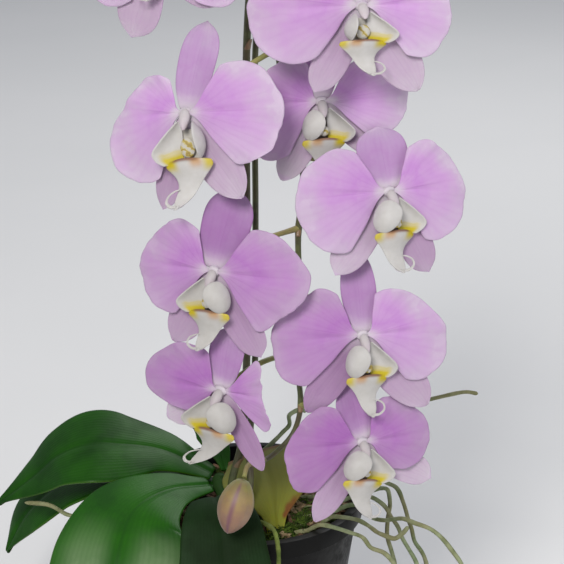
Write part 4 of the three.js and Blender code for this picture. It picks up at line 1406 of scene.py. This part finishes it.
# %% Root routes
ROOTS = {
    "root_hanging_1": [
        (20, -4, 93), (40, -5, 95), (51, -5, 98.5), (59.5, -5, 97.5), (64.5, -5, 99), (68, -5, 98.5),
        (69.5, -5, 91.5), (68.5, -5, 82.5), (68.5, -5, 73.5), (70.5, -6, 65), (72.5, -7, 57.5),
        (74, -7, 40), (73, -6, 22)],
    "root_hanging_2": [
        (24, 4, 93), (42, 3, 96), (54, 2, 99), (63, 2, 101.5), (68.5, 2, 98.5), (73, 2, 96), (76, 2, 89),
        (79, 2, 79), (80.5, 2, 74.5), (82.5, 2, 66.5), (86, 1, 61), (88.5, 0, 55), (93, -1, 40),
        (95, -2, 22), (96, -3, 8)],
    "root_hanging_3": [
        (20, -16, 93), (42, -14, 95.5), (52, -12, 98.5), (60, -12, 97.5), (65.5, -12, 93.5),
        (69, -12, 88), (73, -13, 82.5), (75.5, -14, 76), (79.5, -15, 69), (82.5, -16, 63), (86, -17, 48),
        (88, -18, 30)],
    "root_hanging_4": [
        (18, -26, 93), (38, -24, 95), (49, -21.5, 98.5), (55, -22, 97.8), (58.5, -27, 95),
        (65, -30, 94.5), (74, -33, 97), (80, -35, 95.5), (88, -36, 92.5), (93.5, -37, 87.5),
        (98.5, -38, 81), (102.5, -39, 75.5), (108, -40, 62), (112, -41, 44)],
    "root_hanging_5": [
        (18, -31, 91.6), (35, -32, 95), (40, -33, 98), (45, -34.5, 98.7), (52, -36, 98),
        (57, -37.5, 95.5), (61, -40, 93.5), (64, -42, 93), (69.5, -42, 91), (73.5, -41, 93.5),
        (76, -40, 96.5)],
    "root_hanging_6": [
        (22, -36, 91), (28, -38.5, 93.5), (33.5, -41.5, 98), (40, -43.5, 98.2), (48, -44.5, 96),
        (54, -44, 93), (58, -45, 88), (64.5, -46, 85.5), (70, -47, 79)],
    "root_upper_right": [
        (10, 0, 93), (36, 14, 114), (58, 20, 123), (75.5, 24, 127), (83, 26, 130), (93, 28, 133),
        (103, 30, 134.5), (109.5, 31, 135), (115.5, 32, 133.5)],
    "root_left": [
        (-26, -20, 92.5), (-40, -20, 94.5), (-51, -20, 98.5), (-62, -18, 95), (-76, -15, 88),
        (-89.5, -12, 88), (-99.5, -9, 92), (-111.5, -6, 91.5)],
    "root_front": [
        (-3, -40, 89.5), (-1, -43, 97), (4, -46, 102), (11.5, -52, 102), (13.5, -56, 99),
        (14.3, -58.8, 95), (14.5, -59.5, 86)],
    "root_back": [
        (-2, 18, 92.1), (4, 12, 108), (10, 8, 116.5), (16.5, 8, 123.5), (19.5, 8, 127.5),
        (19.5, 8, 132.5), (25, 10, 135), (28, 12, 133)],
}
ROOT_STEPS = 90
ROOT_RADIUS = 1.08
print("roots:", len(ROOTS))


# %% Building the roots
for k, (name, points) in enumerate(ROOTS.items()):
    line = through(points, ROOT_STEPS)
    radii = []
    for i, point in enumerate(line):
        sideways = noise.noise(point * 0.11 + Vector((k, 0, 0)))
        forwards = noise.noise(point * 0.11 + Vector((0, k, 9)))
        line[i] = point + Vector((sideways, forwards, 0)) * 0.5
        thickness = ROOT_RADIUS + 0.22 * noise.noise(Vector((i * 0.13, k * 5.1, 0)))
        radii.append(thickness * min(1, 0.25 + ((ROOT_STEPS - i) / 3) ** 0.6))
    finish = GREEN_ROOT if name == "root_front" else ROOT_SKIN
    settle(tube(f"air_{name}", line, radii, finish, 3), "root", name)
    print(name, "length in mm:", round(length_of(line)))

# %% [markdown]
# ## The pot
#
# The pot is thin black plastic with a rolled rim. It starts as a cone that narrows to its base. The
# top face is widened and extruded up into the rim, then inset and pushed down to make the inside. A
# bevel softens the moulded edges. Five drain holes are cut through the floor. Spinning an outline
# round the axis would do as well, but this way shows what one face and four operators can do.

# %% Pot measures
POT_HEIGHT = 95
RIM_RADIUS = 56
NECK_RADIUS = 53.5
BASE_RADIUS = 41
WALL = 1.6
POT_FLOOR = 2.4
RIM_HEIGHT = 9
HOLE_RADIUS = 4
HOLE_RING = 26


def pot_skin():
    """Black moulded plastic: scuffs and a little dust on what faces up."""
    material, tree, shader = skin("pot_plastic", Specular_IOR_Level=0.1)
    patch = cloud_mask(tree, 14, 2.2)
    up = split(tree, add(tree, "ShaderNodeNewGeometry").outputs["Normal"])[2]
    dust = times(tree, window(tree, up, 0.3, 0.95, 0.03, 0.16), patch)
    colour = blend(tree, dust, (0.003, 0.003, 0.003), (0.06, 0.055, 0.045))
    tree.links.new(colour, shader.inputs["Base Color"])
    scuff = cell_grain(tree, 1.5)
    wear = plus(tree, times(tree, patch, 0.6), times(tree, scuff, 0.4))
    tree.links.new(window(tree, wear, 0.2, 0.9, 0.35, 0.6), shader.inputs["Roughness"])
    relief(tree, shader, scuff, 0.05, 0.4)
    return material


POT_SKIN = pot_skin()
print("pot height and rim in mm:", POT_HEIGHT, 2 * RIM_RADIUS)

# %% Pot body
def pull_up(rise):
    """Extrudes the selected face up, or down where the rise is negative."""
    bpy.ops.mesh.extrude_region_move(TRANSFORM_OT_translate={"value": (0, 0, rise * MM)})


def widen_face(factor, height):
    """Scales the selected face sideways."""
    bpy.ops.transform.resize(value=(factor, factor, 1), center_override=(0, 0, height * MM))


NECK_HEIGHT = POT_HEIGHT - RIM_HEIGHT
bpy.ops.mesh.primitive_cone_add(
    vertices=96, radius1=BASE_RADIUS * MM, radius2=NECK_RADIUS * MM,
    depth=NECK_HEIGHT * MM, location=(0, 0, NECK_HEIGHT * MM / 2))
pot = bpy.context.object
pot.name = "plastic_pot"
bpy.ops.object.transform_apply(location=True)
select_faces(pot, lambda f: f.normal.z > 0.9)
pull_up(0)
widen_face(RIM_RADIUS / NECK_RADIUS, NECK_HEIGHT)
pull_up(RIM_HEIGHT)
bpy.ops.mesh.inset(thickness=(RIM_RADIUS - NECK_RADIUS + WALL) * MM)
pull_up(-RIM_HEIGHT)
pull_up(-(NECK_HEIGHT - POT_FLOOR))
widen_face((BASE_RADIUS - WALL) / (NECK_RADIUS - WALL), POT_FLOOR)
bpy.ops.object.mode_set(mode="OBJECT")
print("pot faces before the holes:", len(pot.data.polygons))

# %% Drain holes
for k in range(5):
    turn = k * math.tau / 5
    place = Vector((math.cos(turn), math.sin(turn), 0)) * HOLE_RING * MM
    bpy.ops.mesh.primitive_cylinder_add(vertices=24, radius=HOLE_RADIUS * MM, depth=12 * MM, location=place)
    cutter = bpy.context.object
    modify(pot, "BOOLEAN", object=cutter, operation="DIFFERENCE", solver="EXACT")
    bpy.data.objects.remove(cutter)
modify(pot, "BEVEL", width=0.7 * MM, segments=3, limit_method="ANGLE", angle_limit=math.radians(40))
pot.data.materials.append(POT_SKIN)
smooth(pot, 35)
settle(pot, "pot", "pot")
print("pot faces:", len(pot.data.polygons))

# %% [markdown]
# ## Bark and moss
#
# The medium is a mound of bark chips with moss between them. Under the chips lies one solid body
# that fills the pot. The chips are one block, roughened in six ways, and then scattered. Moss is
# short curled strands in tufts. Particles would scatter both with less work, but they are dropped
# when a model leaves Blender, so the copies are real meshes, each joined into one piece.


# %% Medium skins
def bark_skin(name, light, dark, size):
    """Rough bark: light and dark grain with cracks."""
    material, tree, shader = skin(name, Roughness=0.92, Specular_IOR_Level=0.2)
    patch = cloud_mask(tree, size, 2.6)
    speck = cell_grain(tree, 1.6)
    colour = blend(tree, patch, dark, light)
    colour = blend(tree, window(tree, speck, 0.1, 0.5, 0.5, 0), colour, dark)
    tree.links.new(colour, shader.inputs["Base Color"])
    relief(tree, shader, plus(tree, speck, patch), 0.5, 0.9)
    return material


EARTH = bark_skin("medium_body", (0.06, 0.04, 0.02), (0.02, 0.014, 0.008), 5)
BARK = [
    bark_skin("bark_brown", (0.15, 0.085, 0.045), (0.05, 0.028, 0.015), 4),
    bark_skin("bark_tan", (0.3, 0.22, 0.12), (0.12, 0.08, 0.04), 4),
]
MOSS = bark_skin("moss", (0.06, 0.1, 0.01), (0.015, 0.03, 0.003), 3)
print("medium skins:", [m.name for m in (EARTH, *BARK, MOSS)])


# %% Shape of the medium
def fill_radius(height):
    """Inner radius of the pot less a small gap."""
    slope = (NECK_RADIUS - BASE_RADIUS) / (NECK_HEIGHT - POT_FLOOR)
    return BASE_RADIUS - WALL - 0.5 + max(height - POT_FLOOR, 0) * slope * 0.99


FILL_TOP = fill_radius(NECK_HEIGHT)
MIDDLE_HEIGHT = 90.6
# Each moss cushion has its middle, its height and its width.
MOSS_CUSHIONS = [(30, -30, 6.5, 12), (16, -38, 6, 9), (44, -14, 6, 10), (22, -12, 5, 13), (-4, -42, 3.5, 8)]


def crown(x, y):
    """Height of the medium's surface, with the moss cushions on it."""
    away = math.hypot(x, y) / FILL_TOP
    bumps = 1.1 * noise.noise(Vector((x * 0.09, y * 0.09, 3)))
    dents = 0.5 * noise.noise(Vector((x * 0.3, y * 0.3, 7)))
    cushions = []
    for a, b, high, wide in MOSS_CUSHIONS:
        cushions.append(high * math.exp(-(((x - a) ** 2 + (y - b) ** 2) / wide**2)))
    return MIDDLE_HEIGHT - 5.4 * min(away, 1) ** 2.2 + (bumps + dents) + max(cushions)


print("medium height in the middle in mm:", round(crown(0, 0), 1))


# %% Medium body
BODY_HEIGHT = 83
BODY_MIDDLE = 44.2
bpy.ops.mesh.primitive_cylinder_add(
    vertices=64, radius=FILL_TOP * MM, depth=BODY_HEIGHT * MM, location=(0, 0, BODY_MIDDLE * MM))
body = bpy.context.object
body.name = "medium_body"
bpy.ops.object.transform_apply(location=True)
select_faces(body, lambda f: f.normal.z > 0.9)
for _ in range(9):
    bpy.ops.mesh.inset(thickness=5.3 * MM)
bpy.ops.mesh.poke()
bpy.ops.object.mode_set(mode="OBJECT")
for vertex in body.data.vertices:
    x, y, z = vertex.co / MM
    if z < 10:
        share = fill_radius(POT_FLOOR) / FILL_TOP
        vertex.co = Vector((x * share, y * share, POT_FLOOR + 0.3)) * MM
    elif math.hypot(x, y) < FILL_TOP - 0.5:
        vertex.co.z = crown(x, y) * MM
body.data.materials.append(EARTH)
smooth(body, 40)
settle(body, "medium", "growing_medium")
print("medium faces:", len(body.data.polygons))


# %% Bark chips
def make_chip(seed):
    """A rough flat block of bark."""
    bpy.ops.mesh.primitive_cube_add(size=2)
    chip = bpy.context.object
    edit(chip, (bpy.ops.mesh.subdivide, {"number_cuts": 2}))
    for vertex in chip.data.vertices:
        spot = vertex.co.copy()
        push = noise.noise(spot * 0.9 + Vector((seed * 7.3, 0, 0))) * 0.45
        corner = max(abs(c) for c in spot) > 0.99 and spot.length > 1.6
        spot = spot * (1 + push) * (0.86 if corner else 1)
        vertex.co = Vector((spot.x * 5.2, spot.y * 3.4, spot.z * 1.7)) * MM
    return chip


CHIPS = 120
CHIP_SPREAD = 0.9
masters = [make_chip(seed) for seed in range(6)]
chips = []
chance = random.Random(11)
for k in range(CHIPS):
    reach = FILL_TOP * math.sqrt(chance.random()) * CHIP_SPREAD
    turn = chance.uniform(0, math.tau)
    x, y = reach * math.cos(turn), reach * math.sin(turn)
    size = chance.uniform(0.55, 1.05)
    if math.hypot(x, y) + 5 * size > FILL_TOP - 0.5:
        size *= 0.6
    only(masters[k % len(masters)])
    bpy.ops.object.duplicate(linked=False)
    chip = bpy.context.object
    lay = Matrix.Rotation(chance.uniform(0, math.tau), 4, "Z")
    lay = lay @ Matrix.Rotation(chance.uniform(-0.5, 0.5), 4, "X")
    lay = lay @ Matrix.Rotation(chance.uniform(-0.3, 0.3), 4, "Y") @ Matrix.Scale(size, 4)
    chip.data.transform(Matrix.Translation(Vector((x, y, crown(x, y) + 0.6)) * MM) @ lay)
    # Every third chip is tan.
    chip.data.materials.append(BARK[k % 3 == 0])
    chips.append(chip)
for master in masters:
    bpy.data.objects.remove(master)
bark = join(chips, "bark_chips")
smooth(bark, 30)
settle(bark, "medium")
print("bark chips:", len(chips), "faces:", len(bark.data.polygons))

# %% Moss
LOOSE_TUFTS = 30
CUSHION_TUFTS = 40
STRANDS_IN_A_TUFT = 22
STRAND_RADII = [0.55, 0.45, 0.15]
TUFT_SPREAD = 0.86
strands = []
for k in range(LOOSE_TUFTS + CUSHION_TUFTS):
    if k < LOOSE_TUFTS:
        reach = FILL_TOP * math.sqrt(chance.random()) * TUFT_SPREAD
        turn = chance.uniform(0, math.tau)
        centre = Vector((reach * math.cos(turn), reach * math.sin(turn), 0))
    else:
        a, b, _, wide = MOSS_CUSHIONS[k % len(MOSS_CUSHIONS)]
        centre = Vector((chance.gauss(a, wide * 0.45), chance.gauss(b, wide * 0.45), 0))
    for _ in range(STRANDS_IN_A_TUFT):
        spot = centre + Vector((chance.gauss(0, 2.8), chance.gauss(0, 2.8), 0))
        if math.hypot(spot.x, spot.y) > FILL_TOP - 4:
            continue
        lean = Vector((chance.gauss(0, 1.1), chance.gauss(0, 1.1), 0))
        base = Vector((spot.x, spot.y, crown(spot.x, spot.y) - 0.5))
        rise = chance.uniform(1.8, 3.8)
        line = [base, base + lean + Vector((0, 0, rise * 0.6)), base + lean * 2.4 + Vector((0, 0, rise))]
        strands.append((line, STRAND_RADII))
moss = tubes("moss_tufts", strands, MOSS, 0)
settle(moss, "medium")
print("moss strands:", len(strands), "faces:", len(moss.data.polygons))
